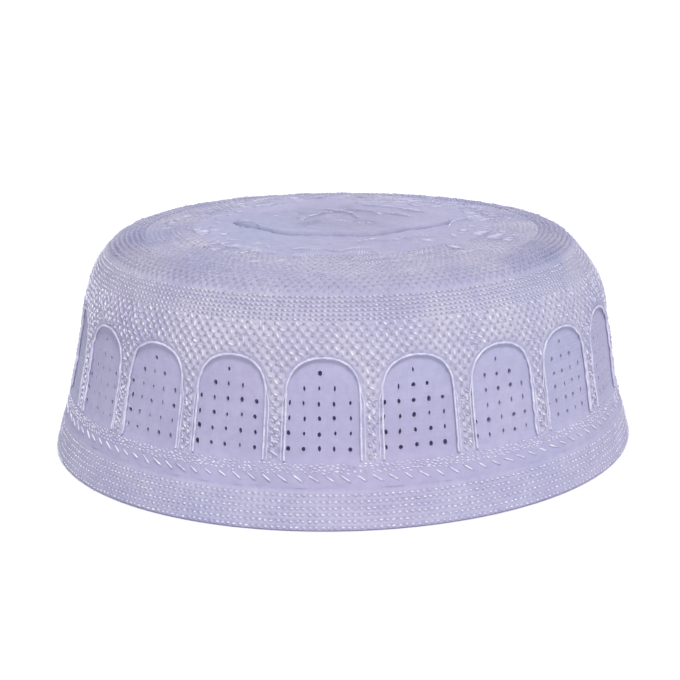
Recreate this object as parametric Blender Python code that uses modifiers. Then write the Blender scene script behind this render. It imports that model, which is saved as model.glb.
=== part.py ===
# Embroidered prayer cap: a round crown, a sloping pierced band with arched panels, a folded hem
# and one satin cord round each arch. Metres, +Z up, origin on the table under the cap's centre.
# The cap is a little longer than it is wide, so every round piece is worked out on a circle and
# then stretched along Y and narrowed along X by the same share.

import math

import bmesh
import bpy
from mathutils import Matrix, Vector

# Driving dimensions of the whole cap
FOOT_RADIUS = 0.0930          # mean outer radius of the wall where it stands
OVAL = 1.067                  # length of the cap over its width
SHOULDER_RADIUS = 0.0822      # the wall's radius where the rounded shoulder starts
SHOULDER_HEIGHT = 0.0480
CROWN_EDGE_RADIUS = 0.0655    # where the shoulder has turned flat
CROWN_EDGE_HEIGHT = 0.0682
CROWN_RISE = 0.0030           # how far the middle of the crown stands above its edge
WAIST_HOLLOW = 0.0007         # how far the wall is drawn in half way up
SIDES = 48                    # segments round the cap

# Cloth
BAND_WALL = 0.0022
HEM_WALL = 0.0030
CROWN_WALL = 0.0018
SEAM_GAP = 0.0003             # the pieces lie this far apart

# Hem
HEM_HEIGHT = 0.0115
HEM_PROUD = 0.0004            # the fold stands this far out from the wall
HEM_ROUND = 0.0009            # rounding of the hem's edges

# Seam between the band and the crown
CROWN_SEAM_HEIGHT = 0.0600
CROWN_SEAM_GAP = 0.0008       # along the curve, wider than the other gaps because the cloth bends here

# Arched panels
ARCHES = 20
ARCH_FIRST_TURN = 9.0         # degrees from +X to the first arch's middle line
ARCH_HALF_TURN = 7.02         # degrees from the middle line to the cord's middle
ARCH_FOOT_HEIGHT = 0.0192
ARCH_TOP_HEIGHT = 0.0478
ARCH_RISE = 0.0105            # height of the rounded head
ARCH_FULLNESS = 2.3           # 2 is an ellipse, more is squarer
PANEL_DEPTH = 0.0010          # the panel is set back this far
PANEL_COLUMNS = 6

# Cord round each arch
CORD_RADIUS = 0.0007
CORD_LEG_STEPS = 2

# Eyelets, six to a panel: (place across the panel as a share of its half width, height share)
EYELET_WIDTH = 0.0019
EYELET_HEIGHT = 0.0023
EYELET_SIDES = 5
EYELETS = [
    # across, up
    (-0.66, 0.16),
    (0.00, 0.16),
    (0.66, 0.16),
    (-0.34, 0.46),
    (0.34, 0.46),
    (0.00, 0.76),
]

# Relief of the crown
MEDALLION_REACH = 0.0335      # half of the pointed oval's length
MEDALLION_DEPTH = 0.0250      # half of its width
MEDALLION_TURN = 66.0         # degrees from +X to one of its points
MEDALLION_ROUNDNESS = 1.6     # 2 is an ellipse, less has sharper points
MEDALLION_RISE = 0.0008
SEAM_DIP = 0.0007             # depth of the seam round the medallion
SEAM_WIDTH = 0.0050
RING_RADIUS = 0.0620          # middle of the band of stitched rings on the crown's edge
RING_WIDTH = 0.0120
RING_RISE = 0.0006
FOLD_HEIGHT = 0.0016          # height of a soft fold whose share is 1
FOLDS = [
    # turn, spread in degrees, from and to as shares of the crown's edge radius, height share
    (12, 15, 0.54, 0.92, 0.6),
    (58, 20, 0.56, 0.94, -0.5),
    (101, 13, 0.54, 0.90, 0.7),
    (146, 18, 0.56, 0.94, -0.6),
    (190, 14, 0.54, 0.92, 0.7),
    (229, 20, 0.56, 0.94, -0.5),
    (268, 15, 0.54, 0.92, 0.6),
    (316, 18, 0.56, 0.94, -0.6),
    (20, 16, 0.06, 0.46, 0.7),
    (95, 14, 0.06, 0.44, -0.6),
    (150, 16, 0.08, 0.46, 0.8),
    (215, 14, 0.06, 0.44, 0.6),
    (285, 16, 0.06, 0.46, -0.7),
]

# Rings of points on the crown, as shares of its edge radius
CROWN_RINGS = [0.12, 0.25, 0.36, 0.44, 0.51, 0.58, 0.70, 0.84, 0.95, 1.0]
SHOULDER_STEPS = 3            # rings from the seam up to the crown's edge

# Colours, linear
CLOTH_COLOUR = (0.480, 0.468, 0.665)
HEM_COLOUR = (0.500, 0.480, 0.680)
CORD_COLOUR = (0.640, 0.620, 0.790)

WIDTH_SHARE = 1.0 / math.sqrt(OVAL)
LENGTH_SHARE = math.sqrt(OVAL)


# Shape of the cap

def shoulder_curve(share):
    """The rounded shoulder, from the wall at 0 to the crown's edge at 1, as (radius, height)."""
    slope = (FOOT_RADIUS - SHOULDER_RADIUS) / SHOULDER_HEIGHT
    corner_radius = SHOULDER_RADIUS - slope * (CROWN_EDGE_HEIGHT - SHOULDER_HEIGHT)
    points = (
        (SHOULDER_RADIUS, SHOULDER_HEIGHT),
        (corner_radius, CROWN_EDGE_HEIGHT),
        (CROWN_EDGE_RADIUS, CROWN_EDGE_HEIGHT),
    )
    weights = ((1 - share) ** 2, 2 * share * (1 - share), share ** 2)
    radius = sum(weight * point[0] for weight, point in zip(weights, points))
    height = sum(weight * point[1] for weight, point in zip(weights, points))
    return radius, height


def shoulder_share(height):
    """How far along the shoulder a height lies."""
    rise = (height - SHOULDER_HEIGHT) / (CROWN_EDGE_HEIGHT - SHOULDER_HEIGHT)
    return 1.0 - math.sqrt(max(0.0, 1.0 - rise))


def shoulder_share_past(share, distance):
    """The share reached by going a distance further along the shoulder."""
    step = 0.001
    (r0, z0), (r1, z1) = shoulder_curve(share), shoulder_curve(share + step)
    return share + step * distance / math.hypot(r1 - r0, z1 - z0)


def wall_radius(height):
    """Outer radius of the wall at a height, before the cap is made oval."""
    if height > SHOULDER_HEIGHT:
        return shoulder_curve(shoulder_share(height))[0]
    share = height / SHOULDER_HEIGHT
    straight = FOOT_RADIUS + (SHOULDER_RADIUS - FOOT_RADIUS) * share
    return straight - WAIST_HOLLOW * math.sin(math.pi * share)


def oval_point(radius, turn, height):
    """A point at a turn in radians from +X, on the stretched circle."""
    return Vector((radius * math.cos(turn) * WIDTH_SHARE, radius * math.sin(turn) * LENGTH_SHARE, height))


def wall_point(turn, height, inset=0.0):
    return oval_point(wall_radius(height) - inset, turn, height)


def hump(distance, half_width):
    """A smooth bump, 1 in the middle and 0 at its half width."""
    if abs(distance) >= half_width:
        return 0.0
    return 0.5 + 0.5 * math.cos(math.pi * distance / half_width)


def smooth_step(value):
    value = min(1.0, max(0.0, value))
    return value * value * (3.0 - 2.0 * value)


def medallion_edge(turn):
    """Distance from the crown's middle to the medallion's seam."""
    away = turn - math.radians(MEDALLION_TURN)
    length_part = (abs(math.cos(away)) / MEDALLION_REACH) ** MEDALLION_ROUNDNESS
    width_part = (abs(math.sin(away)) / MEDALLION_DEPTH) ** MEDALLION_ROUNDNESS
    return (length_part + width_part) ** (-1.0 / MEDALLION_ROUNDNESS)


def crown_relief(radius, turn):
    """Height that the medallion, the stitched rings and the folds add to the crown."""
    seam = medallion_edge(turn)
    relief = MEDALLION_RISE * smooth_step((seam + SEAM_WIDTH / 2 - radius) / SEAM_WIDTH)
    relief -= SEAM_DIP * hump(radius - seam - SEAM_WIDTH / 2, SEAM_WIDTH / 2)
    relief += RING_RISE * hump(radius - RING_RADIUS, RING_WIDTH / 2)
    for fold_turn, spread, inner, outer, share in FOLDS:
        away = (math.degrees(turn) - fold_turn + 180.0) % 360.0 - 180.0
        middle = (inner + outer) / 2 * CROWN_EDGE_RADIUS
        reach = (outer - inner) / 2 * CROWN_EDGE_RADIUS
        relief += FOLD_HEIGHT * share * hump(away, spread) * hump(radius - middle, reach)
    return relief


def arch_outline(grow=0.0):
    """Points of an arch from its left foot over its head to its right foot, as (turn, height).

    grow moves the outline out from the cord's middle line.
    """
    half_turn = math.radians(ARCH_HALF_TURN) + grow / wall_radius(ARCH_FOOT_HEIGHT)
    spring = ARCH_TOP_HEIGHT - ARCH_RISE
    rise = ARCH_RISE + grow
    head = []
    for step in range(PANEL_COLUMNS + 1):
        angle = math.pi * (1.0 - step / PANEL_COLUMNS)
        across = math.copysign(abs(math.cos(angle)) ** (2.0 / ARCH_FULLNESS), math.cos(angle))
        up = math.sin(angle) ** (2.0 / ARCH_FULLNESS)
        if step in (0, PANEL_COLUMNS):
            up = 0.0
        head.append((across * half_turn, spring + up * rise))
    return head


def arch_turn(number):
    return math.radians(ARCH_FIRST_TURN + number * 360.0 / ARCHES)


# Collections and materials

def fresh_collection(name):
    collection = bpy.data.collections.get(name)
    if collection is None:
        collection = bpy.data.collections.new(name)
        bpy.context.scene.collection.children.link(collection)
    return collection


def cloth_material(name, colour, roughness):
    material = bpy.data.materials.new(name)
    material.use_nodes = True
    shader = material.node_tree.nodes["Principled BSDF"]
    shader.inputs["Base Color"].default_value = (*colour, 1.0)
    shader.inputs["Roughness"].default_value = roughness
    shader.inputs["Metallic"].default_value = 0.0
    return material


def piece_from(bm, name, collection, colour=None, roughness=0.85, crease=40.0):
    """Turn a bmesh into a named object, shaded smooth, with its own material."""
    mesh = bpy.data.meshes.new(name)
    bm.to_mesh(mesh)
    bm.free()
    piece = bpy.data.objects.new(name, mesh)
    collection.objects.link(piece)
    mesh.shade_smooth()
    mesh.set_sharp_from_angle(angle=math.radians(crease))
    if colour is not None:
        mesh.materials.append(cloth_material(name, colour, roughness))
    return piece


def face_outwards(bm):
    """Give every face of an open wall the same side, the one away from the cap's middle."""
    bmesh.ops.recalc_face_normals(bm, faces=bm.faces)
    first = bm.faces[0]
    if first.normal.dot(first.calc_center_median()) < 0.0:
        bmesh.ops.reverse_faces(bm, faces=bm.faces)


def add_wall(piece, thickness):
    modifier = piece.modifiers.new("cloth", "SOLIDIFY")
    modifier.thickness = thickness
    modifier.offset = -1.0
    modifier.use_even_offset = True


def ring_up(rings):
    """An open tube through rings of points, made by extruding its top edge from ring to ring."""
    bm = bmesh.new()
    made = bmesh.ops.create_circle(bm, segments=SIDES, radius=FOOT_RADIUS, cap_ends=False)
    edge_loop = list(bm.edges)
    loop = made["verts"]
    for vertex, place in zip(loop, rings[0]):
        vertex.co = place
    for places in rings[1:]:
        grown = bmesh.ops.extrude_edge_only(bm, edges=edge_loop)["geom"]
        edge_loop = [item for item in grown if isinstance(item, bmesh.types.BMEdge)]
        matches = {}
        for vertex in (item for item in grown if isinstance(item, bmesh.types.BMVert)):
            for edge in vertex.link_edges:
                other = edge.other_vert(vertex)
                if other in loop:
                    matches[other] = vertex
        loop = [matches[vertex] for vertex in loop]
        for vertex, place in zip(loop, places):
            vertex.co = place
    return bm, loop


def turns():
    return [2.0 * math.pi * side / SIDES for side in range(SIDES)]


# Hem

def make_hem(collection):
    """The folded strip: a closed section, flat underneath and square to the wall on top."""
    top = HEM_HEIGHT
    outer_foot = wall_radius(0.0) + HEM_PROUD
    outer_top = wall_radius(top) + HEM_PROUD
    lean = HEM_WALL * (outer_foot - outer_top) / top
    section = [
        (outer_foot - HEM_ROUND, 0.0),
        (outer_foot, HEM_ROUND),
        (outer_top, top - HEM_ROUND),
        (outer_top - HEM_ROUND, top - lean * HEM_ROUND / HEM_WALL),
        (outer_top - HEM_WALL, top - lean),
        (outer_foot - HEM_WALL, HEM_ROUND),
        (outer_foot - HEM_WALL + HEM_ROUND, 0.0),
    ]
    bm = bmesh.new()
    corners = [bm.verts.new((radius, 0.0, height)) for radius, height in section]
    edges = [bm.edges.new((corners[i], corners[(i + 1) % len(corners)])) for i in range(len(corners))]
    bmesh.ops.spin(
        bm,
        geom=corners + edges,
        cent=(0.0, 0.0, 0.0),
        axis=(0.0, 0.0, 1.0),
        angle=2.0 * math.pi,
        steps=SIDES,
        use_merge=True,
    )
    for vertex in bm.verts:
        vertex.co = oval_point(vertex.co.xy.length, math.atan2(vertex.co.y, vertex.co.x), vertex.co.z)
    bmesh.ops.recalc_face_normals(bm, faces=bm.faces)
    return piece_from(bm, "hem_band", collection, HEM_COLOUR)


# Side band with its panels and eyelets

def band_heights():
    foot = HEM_HEIGHT + SEAM_GAP
    heights = [foot, (foot + SHOULDER_HEIGHT) / 2, SHOULDER_HEIGHT]
    for step in (1, 2):
        heights.append(SHOULDER_HEIGHT + (CROWN_SEAM_HEIGHT - SHOULDER_HEIGHT) * step / 2)
    return heights


def panel_cutter(number, bm):
    """A block with the panel's arched outline, whose back follows the wall at the panel's depth."""
    outline = arch_outline(grow=CORD_RADIUS + SEAM_GAP)
    foot = ARCH_FOOT_HEIGHT - CORD_RADIUS - SEAM_GAP
    flat = bmesh.ops.create_grid(bm, x_segments=PANEL_COLUMNS, y_segments=2, size=1.0)["verts"]
    faces = {face for vertex in flat for face in vertex.link_faces}
    grown = bmesh.ops.extrude_face_region(bm, geom=list(faces), use_keep_orig=True)["geom"]
    front = [item for item in grown if isinstance(item, bmesh.types.BMVert)]
    for inset, vertices in ((PANEL_DEPTH, flat), (-BAND_WALL, front)):
        for vertex in vertices:
            column = round((vertex.co.x + 1.0) / 2.0 * PANEL_COLUMNS)
            turn, top = outline[column]
            height = foot + (top - foot) * (vertex.co.y + 1.0) / 2.0
            vertex.co = wall_point(arch_turn(number) + turn, height, inset)


def eyelet_cutter(number, across, up, bm):
    """A short many-sided bar that goes right through the band."""
    turn = arch_turn(number) + across * math.radians(ARCH_HALF_TURN)
    height = ARCH_FOOT_HEIGHT + up * (ARCH_TOP_HEIGHT - ARCH_FOOT_HEIGHT)
    outer = wall_point(turn, height, -BAND_WALL)
    inner = wall_point(turn, height, 2.0 * BAND_WALL)
    made = bmesh.ops.create_cone(
        bm,
        cap_ends=True,
        segments=EYELET_SIDES,
        radius1=0.5,
        radius2=0.5,
        depth=(outer - inner).length,
    )["verts"]
    bmesh.ops.scale(bm, vec=(EYELET_HEIGHT, EYELET_WIDTH, 1.0), verts=made)
    outward = (outer - inner).normalized()
    around = Vector((-outward.y, outward.x, 0.0)).normalized()
    upright = Matrix((around.cross(outward), around, outward)).transposed()
    bmesh.ops.rotate(bm, cent=(0.0, 0.0, 0.0), matrix=upright, verts=made)
    bmesh.ops.translate(bm, vec=(outer + inner) / 2.0, verts=made)


def add_cut(piece, cutter):
    modifier = piece.modifiers.new(cutter.name, "BOOLEAN")
    modifier.operation = "DIFFERENCE"
    modifier.solver = "EXACT"
    modifier.object = cutter


def make_cutter(name, bm, collection):
    bmesh.ops.recalc_face_normals(bm, faces=bm.faces)
    cutter = piece_from(bm, name, collection)
    cutter.display_type = "WIRE"
    cutter.hide_render = True
    return cutter


def make_side_band(collection, cutters):
    rings = [[wall_point(turn, height) for turn in turns()] for height in band_heights()]
    bm, _ = ring_up(rings)
    face_outwards(bm)
    band = piece_from(bm, "side_band", collection, CLOTH_COLOUR)
    add_wall(band, BAND_WALL)
    panels = bmesh.new()
    eyelets = bmesh.new()
    for number in range(ARCHES):
        panel_cutter(number, panels)
        for across, up in EYELETS:
            eyelet_cutter(number, across, up, eyelets)
    add_cut(band, make_cutter("panel_cutters", panels, cutters))
    add_cut(band, make_cutter("eyelet_cutters", eyelets, cutters))
    return band


# Cords

def cord_route(number):
    """The cord's middle line: up one leg, over the head and down the other, on the panel's floor."""
    head = arch_outline()
    inset = PANEL_DEPTH - SEAM_GAP - CORD_RADIUS
    spring = head[0][1]
    leg = []
    for step in range(CORD_LEG_STEPS):
        leg.append(ARCH_FOOT_HEIGHT + (spring - ARCH_FOOT_HEIGHT) * step / CORD_LEG_STEPS)
    route = [(head[0][0], height) for height in leg]
    route += head
    route += [(head[-1][0], height) for height in reversed(leg)]
    middle = arch_turn(number)
    return [wall_point(middle + turn, height, inset) for turn, height in route]


def make_cord(number, collection):
    name = f"arch_cord_{number + 1:02d}"
    curve = bpy.data.curves.new(name, "CURVE")
    curve.dimensions = "3D"
    curve.bevel_depth = CORD_RADIUS
    curve.bevel_resolution = 1
    curve.use_fill_caps = True
    route = cord_route(number)
    spline = curve.splines.new("POLY")
    spline.points.add(len(route) - 1)
    for point, place in zip(spline.points, route):
        point.co = (*place, 1.0)
    curve.materials.append(cloth_material(name, CORD_COLOUR, 0.6))
    cord = bpy.data.objects.new(name, curve)
    collection.objects.link(cord)
    return cord


# Crown

def make_crown(collection):
    """The round top: rings from the seam over the shoulder to the middle, then the cloth's relief."""
    seam_share = shoulder_share_past(shoulder_share(CROWN_SEAM_HEIGHT), CROWN_SEAM_GAP)
    profile = []
    for step in range(SHOULDER_STEPS):
        profile.append(shoulder_curve(seam_share + (1.0 - seam_share) * step / SHOULDER_STEPS))
    for share in reversed(CROWN_RINGS):
        radius = share * CROWN_EDGE_RADIUS
        profile.append((radius, CROWN_EDGE_HEIGHT + CROWN_RISE * (1.0 - share ** 2)))
    rings = []
    for radius, height in profile:
        rings.append([oval_point(radius, turn, height + crown_relief(radius, turn)) for turn in turns()])
    bm, last_loop = ring_up(rings)
    middle = bmesh.ops.contextual_create(bm, geom=last_loop)["faces"]
    bmesh.ops.poke(bm, faces=middle)
    face_outwards(bm)
    crown = piece_from(bm, "crown", collection, CLOTH_COLOUR)
    add_wall(crown, CROWN_WALL)
    return crown


def build_cap():
    for item in list(bpy.data.objects):
        bpy.data.objects.remove(item, do_unlink=True)
    cap = fresh_collection("embroidered_prayer_cap")
    cutters = fresh_collection("cutters")
    make_hem(cap)
    make_side_band(cap, cutters)
    make_crown(cap)
    for number in range(ARCHES):
        make_cord(number, cap)


build_cap()
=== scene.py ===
# %% [markdown]
# This script dresses an embroidered prayer cap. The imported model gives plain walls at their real
# place and size. Here they get their cloth, their eyelets and some thousands of stitches.
# %% Load the plain model
import math
import random

import bmesh
import bpy
from mathutils import Matrix, Vector, noise


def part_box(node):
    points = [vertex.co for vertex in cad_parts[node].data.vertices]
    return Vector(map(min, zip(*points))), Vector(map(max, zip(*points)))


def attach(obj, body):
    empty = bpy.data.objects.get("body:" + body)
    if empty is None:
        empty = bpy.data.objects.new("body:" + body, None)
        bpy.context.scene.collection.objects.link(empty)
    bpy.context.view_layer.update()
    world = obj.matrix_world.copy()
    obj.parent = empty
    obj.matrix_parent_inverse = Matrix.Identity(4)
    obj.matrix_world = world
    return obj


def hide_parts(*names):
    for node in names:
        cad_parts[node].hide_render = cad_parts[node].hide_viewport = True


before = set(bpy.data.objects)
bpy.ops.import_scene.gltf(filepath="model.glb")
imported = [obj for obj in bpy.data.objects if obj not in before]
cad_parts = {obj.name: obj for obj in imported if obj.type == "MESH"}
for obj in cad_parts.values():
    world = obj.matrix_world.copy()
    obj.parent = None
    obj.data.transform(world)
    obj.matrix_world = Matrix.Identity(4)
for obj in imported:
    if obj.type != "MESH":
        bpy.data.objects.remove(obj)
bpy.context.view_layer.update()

hem_low, hem_high = (Vector(corner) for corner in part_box("hem_band"))
band_low, band_high = (Vector(corner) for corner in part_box("side_band"))
crown_low, crown_high = (Vector(corner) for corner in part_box("crown"))
print("hem", hem_high - hem_low, "band", band_high - band_low, "crown", crown_high - crown_low)

# %% [markdown]
# The cap is a turned shape that has been stretched a little from front to back. A real maker sews a
# sloping band to a round top. Every piece below needs the same curve, so the curve comes first:
# a straight wall, a rounded shoulder and a nearly flat crown. Its foot and its stretch come from
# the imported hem, and the other sizes are those of the plain model.
# %% Sizes of the cap
HEM_PROUD = 0.0004
OVAL = (hem_high.y - hem_low.y) / (hem_high.x - hem_low.x)
FOOT_RADIUS = math.sqrt(hem_high.x * hem_high.y) - HEM_PROUD
SHOULDER_RADIUS = 0.0822
SHOULDER_HEIGHT = 0.0480
CROWN_EDGE_RADIUS = 0.0655
CROWN_EDGE_HEIGHT = 0.0682
CROWN_RISE = 0.0030
WAIST_HOLLOW = 0.0007
HEM_TOP = 0.01188
CROWN_SEAM_HEIGHT = 0.0600
BAND_WALL = 0.0016
CROWN_WALL = 0.0014
HEM_WALL = 0.0030
PROFILE_STEPS = 400
WIDTH_SHARE = 1.0 / math.sqrt(OVAL)
LENGTH_SHARE = math.sqrt(OVAL)
print("foot radius", FOOT_RADIUS, "oval", OVAL)

# %% The curve of the cap from its foot to the middle of its crown


def shoulder_curve(share):
    slope = (FOOT_RADIUS - SHOULDER_RADIUS) / SHOULDER_HEIGHT
    corner = SHOULDER_RADIUS - slope * (CROWN_EDGE_HEIGHT - SHOULDER_HEIGHT)
    start, bend, end = (1 - share) ** 2, 2 * share * (1 - share), share ** 2
    radius = start * SHOULDER_RADIUS + bend * corner + end * CROWN_EDGE_RADIUS
    height = start * SHOULDER_HEIGHT + bend * CROWN_EDGE_HEIGHT + end * CROWN_EDGE_HEIGHT
    return radius, height


def wall_radius(height):
    if height > SHOULDER_HEIGHT:
        rise = (height - SHOULDER_HEIGHT) / (CROWN_EDGE_HEIGHT - SHOULDER_HEIGHT)
        return shoulder_curve(1.0 - math.sqrt(max(0.0, 1.0 - rise)))[0]
    share = height / SHOULDER_HEIGHT
    straight = FOOT_RADIUS + (SHOULDER_RADIUS - FOOT_RADIUS) * share
    return straight - WAIST_HOLLOW * math.sin(math.pi * share)


def profile_points():
    points = []
    for step in range(PROFILE_STEPS):
        height = SHOULDER_HEIGHT * step / PROFILE_STEPS
        points.append((wall_radius(height), height))
    for step in range(PROFILE_STEPS):
        points.append(shoulder_curve(step / PROFILE_STEPS))
    for step in range(PROFILE_STEPS + 1):
        share = 1.0 - step / PROFILE_STEPS
        radius = share * CROWN_EDGE_RADIUS
        points.append((radius, CROWN_EDGE_HEIGHT + CROWN_RISE * (1.0 - share ** 2)))
    return points


PROFILE = profile_points()
ALONG = [0.0]
for (r0, z0), (r1, z1) in zip(PROFILE, PROFILE[1:]):
    ALONG.append(ALONG[-1] + math.hypot(r1 - r0, z1 - z0))
FULL_LENGTH = ALONG[-1]


def profile_at(along):
    """Radius, height and outward direction at a distance along the curve from the foot."""
    low, high = 0, len(ALONG) - 1
    while high - low > 1:
        middle = (low + high) // 2
        if ALONG[middle] <= along:
            low = middle
        else:
            high = middle
    share = (along - ALONG[low]) / (ALONG[high] - ALONG[low])
    (r0, z0), (r1, z1) = PROFILE[low], PROFILE[high]
    length = math.hypot(r1 - r0, z1 - z0)
    out = ((z1 - z0) / length, -(r1 - r0) / length)
    return r0 + (r1 - r0) * share, z0 + (z1 - z0) * share, out


def along_height(height):
    """Distance along the curve at which the wall or the shoulder reaches a height."""
    for index, (_, z) in enumerate(PROFILE):
        if z >= height:
            return ALONG[index]
    return FULL_LENGTH


def along_radius(radius):
    """Distance along the curve at which the crown has narrowed to a radius."""
    for index, (r, _) in enumerate(PROFILE):
        if r <= radius:
            return ALONG[index]
    return FULL_LENGTH


def smooth_step(value):
    """A soft step from 0 to 1 while the value goes from 0 to 1."""
    value = min(1.0, max(0.0, value))
    return value * value * (3.0 - 2.0 * value)


def hump(distance, half_width):
    """1 at no distance, falling to 0 at the half width."""
    if abs(distance) >= half_width:
        return 0.0
    return 0.5 + 0.5 * math.cos(math.pi * distance / half_width)


def degrees_from(turn, middle):
    """Degrees from a middle direction to a turn in radians, the short way round."""
    return (math.degrees(turn) - middle + 180.0) % 360.0 - 180.0


def oval_point(turn, radius, height):
    """A point of the round cap, carried to the cap's stretched circle."""
    return Vector((radius * math.cos(turn) * WIDTH_SHARE, radius * math.sin(turn) * LENGTH_SHARE, height))


print("length from foot to middle", FULL_LENGTH)

# %% [markdown]
# On the real cap the arches are panels of plain cloth with the quilted cloth cut away round them.
# They are set back by the thickness of the quilting. One function says how far inside an arch a
# point lies, and the cloth, the cords and the stitches all use it.
# %% Arches
ARCHES = 20
ARCH_FIRST_TURN = math.radians(9.25)
ARCH_PITCH = 2.0 * math.pi / ARCHES
ARCH_HALF_TURN = math.radians(7.02)
ARCH_FOOT_HEIGHT = 0.0192
ARCH_TOP_HEIGHT = 0.0478
ARCH_RISE = 0.0105
ARCH_SPRING = ARCH_TOP_HEIGHT - ARCH_RISE
ARCH_FULLNESS = 2.3
ARCH_CLEAR = 0.0040
ARCH_HEAD_STEPS = 24
ARCH_LEG_STEPS = 10
PANEL_DEPTH = 0.0009
PANEL_EDGE = 0.0008


def arch_away(turn):
    """Turn from the middle line of the nearest arch."""
    return (turn - ARCH_FIRST_TURN + ARCH_PITCH / 2) % ARCH_PITCH - ARCH_PITCH / 2


def inside_arch(turn, height):
    """How far in metres a point of the wall lies inside its arch, less than 0 outside."""
    away = abs(arch_away(turn))
    if height <= ARCH_SPRING:
        side = (ARCH_HALF_TURN - away) * wall_radius(height)
        return min(side, height - ARCH_FOOT_HEIGHT)
    power = ARCH_FULLNESS
    reach = (away / ARCH_HALF_TURN) ** power + ((height - ARCH_SPRING) / ARCH_RISE) ** power
    return (1.0 - reach ** (1.0 / power)) * ARCH_RISE


def outside_arches(turn, height):
    """How far a point lies outside every arch, and a full metre where it is well above them."""
    return -inside_arch(turn, height) if height < ARCH_TOP_HEIGHT + ARCH_CLEAR else 1.0


def arch_route():
    """An arch from its left foot over its head to its right foot, as turns away and heights."""
    leg_step = (ARCH_SPRING - ARCH_FOOT_HEIGHT) / ARCH_LEG_STEPS
    leg = [ARCH_FOOT_HEIGHT + leg_step * step for step in range(ARCH_LEG_STEPS)]
    route = [(-ARCH_HALF_TURN, height) for height in leg]
    for step in range(ARCH_HEAD_STEPS + 1):
        angle = math.pi * (1.0 - step / ARCH_HEAD_STEPS)
        across = math.copysign(abs(math.cos(angle)) ** (2.0 / ARCH_FULLNESS), math.cos(angle))
        up = max(0.0, math.sin(angle)) ** (2.0 / ARCH_FULLNESS)
        route.append((across * ARCH_HALF_TURN, ARCH_SPRING + up * ARCH_RISE))
    return route + [(ARCH_HALF_TURN, height) for height in reversed(leg)]


print("arches", ARCHES, "each", 2 * ARCH_HALF_TURN * wall_radius(ARCH_FOOT_HEIGHT), "wide")

# %% [markdown]
# Cloth that has been stitched all over is never smooth. The crown carries a pointed oval medallion
# with a sewn-in crease round it, a few sharp creases across it, and ridges where rows of stitching
# run round its edge. Between them lie soft folds from being pressed flat. Worn cloth also settles:
# the wall bulges at one side, the shoulder above it slumps and the crown sinks a little behind it.
# The relief is one function of the place on the cap, so a stitch that is laid on the cloth rides up
# and down with it. Creases and folds are short tables. The creases' ends are shares of the crown's
# radius, to the right and to the back as seen from the front of the cap.
# %% Soft unevenness and the medallion
MEDALLION_REACH = 0.0335
MEDALLION_DEPTH = 0.0250
MEDALLION_TURN = math.radians(66.0)
MEDALLION_ROUNDNESS = 1.6
MEDALLION_RISE = 0.0008
MEDALLION_SEAM = 0.0010
MEDALLION_SEAM_HALF = 0.0008
MEDALLION_WAVES = 6
MEDALLION_WAVE = 0.025
MEDALLION_WAVE_START = 0.6
SEAM_MEAN = 0.7
SEAM_VARIES = 0.9
SEAM_PATCHES = 7.0
PUCKER = 0.00027
WIDE_PUCKER = 0.006
FINE_PUCKER = 0.0025


def pucker_at(turn, along, size):
    """Small soft unevenness, from -1 to 1, with humps about the given size across."""
    radius, height, _ = profile_at(along)
    place = Vector((radius * math.cos(turn), radius * math.sin(turn), height)) / size
    return noise.noise(place)


def medallion_edge(turn):
    """Distance from the crown's middle to the medallion's seam."""
    away = turn - MEDALLION_TURN
    length_part = (abs(math.cos(away)) / MEDALLION_REACH) ** MEDALLION_ROUNDNESS
    width_part = (abs(math.sin(away)) / MEDALLION_DEPTH) ** MEDALLION_ROUNDNESS
    edge = (length_part + width_part) ** (-1.0 / MEDALLION_ROUNDNESS)
    return edge * (1.0 + MEDALLION_WAVE * math.cos(MEDALLION_WAVES * away + MEDALLION_WAVE_START))


print("medallion", 2.0 * MEDALLION_REACH, "by", 2.0 * MEDALLION_DEPTH)

# %% Creases of the crown
CREASE_HEIGHT = 0.0006
CREASE_HALF_WIDTH = 0.0008
CREASE_DIP = 0.4
CREASE_BOW = 0.10
CREASE_END = 0.03
CREASE_FADE = 0.08
CREASE_NEAR = 0.05
CREASES = [
    # from right, from back, to right, to back, height share
    (-0.12, 0.20, 0.08, -0.06, 0.8),
    (-0.01, 0.16, 0.34, -0.02, 0.8),
    (0.05, 0.32, 0.42, 0.12, 0.7),
    (-0.20, -0.06, -0.06, 0.10, 0.5),
    (-0.34, 0.06, -0.16, -0.14, -0.4),
    (-0.04, -0.10, 0.16, -0.22, -0.4),
    (-0.50, -0.04, -0.39, -0.21, 0.6),
    (-0.29, 0.22, -0.08, 0.14, -0.8),
    (0.06, -0.53, 0.26, -0.47, 0.6),
    (0.26, -0.47, 0.40, -0.39, 0.7),
    (-0.64, -0.53, -0.54, -0.48, 0.9),
    (-0.45, -0.66, -0.30, -0.63, 0.8),
    (-0.90, 0.10, -0.83, 0.19, 0.7),
    (-0.74, 0.46, -0.62, 0.57, -0.6),
    (0.51, -0.21, 0.65, 0.12, 0.5),
    (0.70, 0.08, 0.76, 0.13, 0.6),
    (-0.55, 0.50, -0.30, 0.62, 0.5),
    (0.20, 0.60, 0.48, 0.46, -0.5),
]


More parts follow.
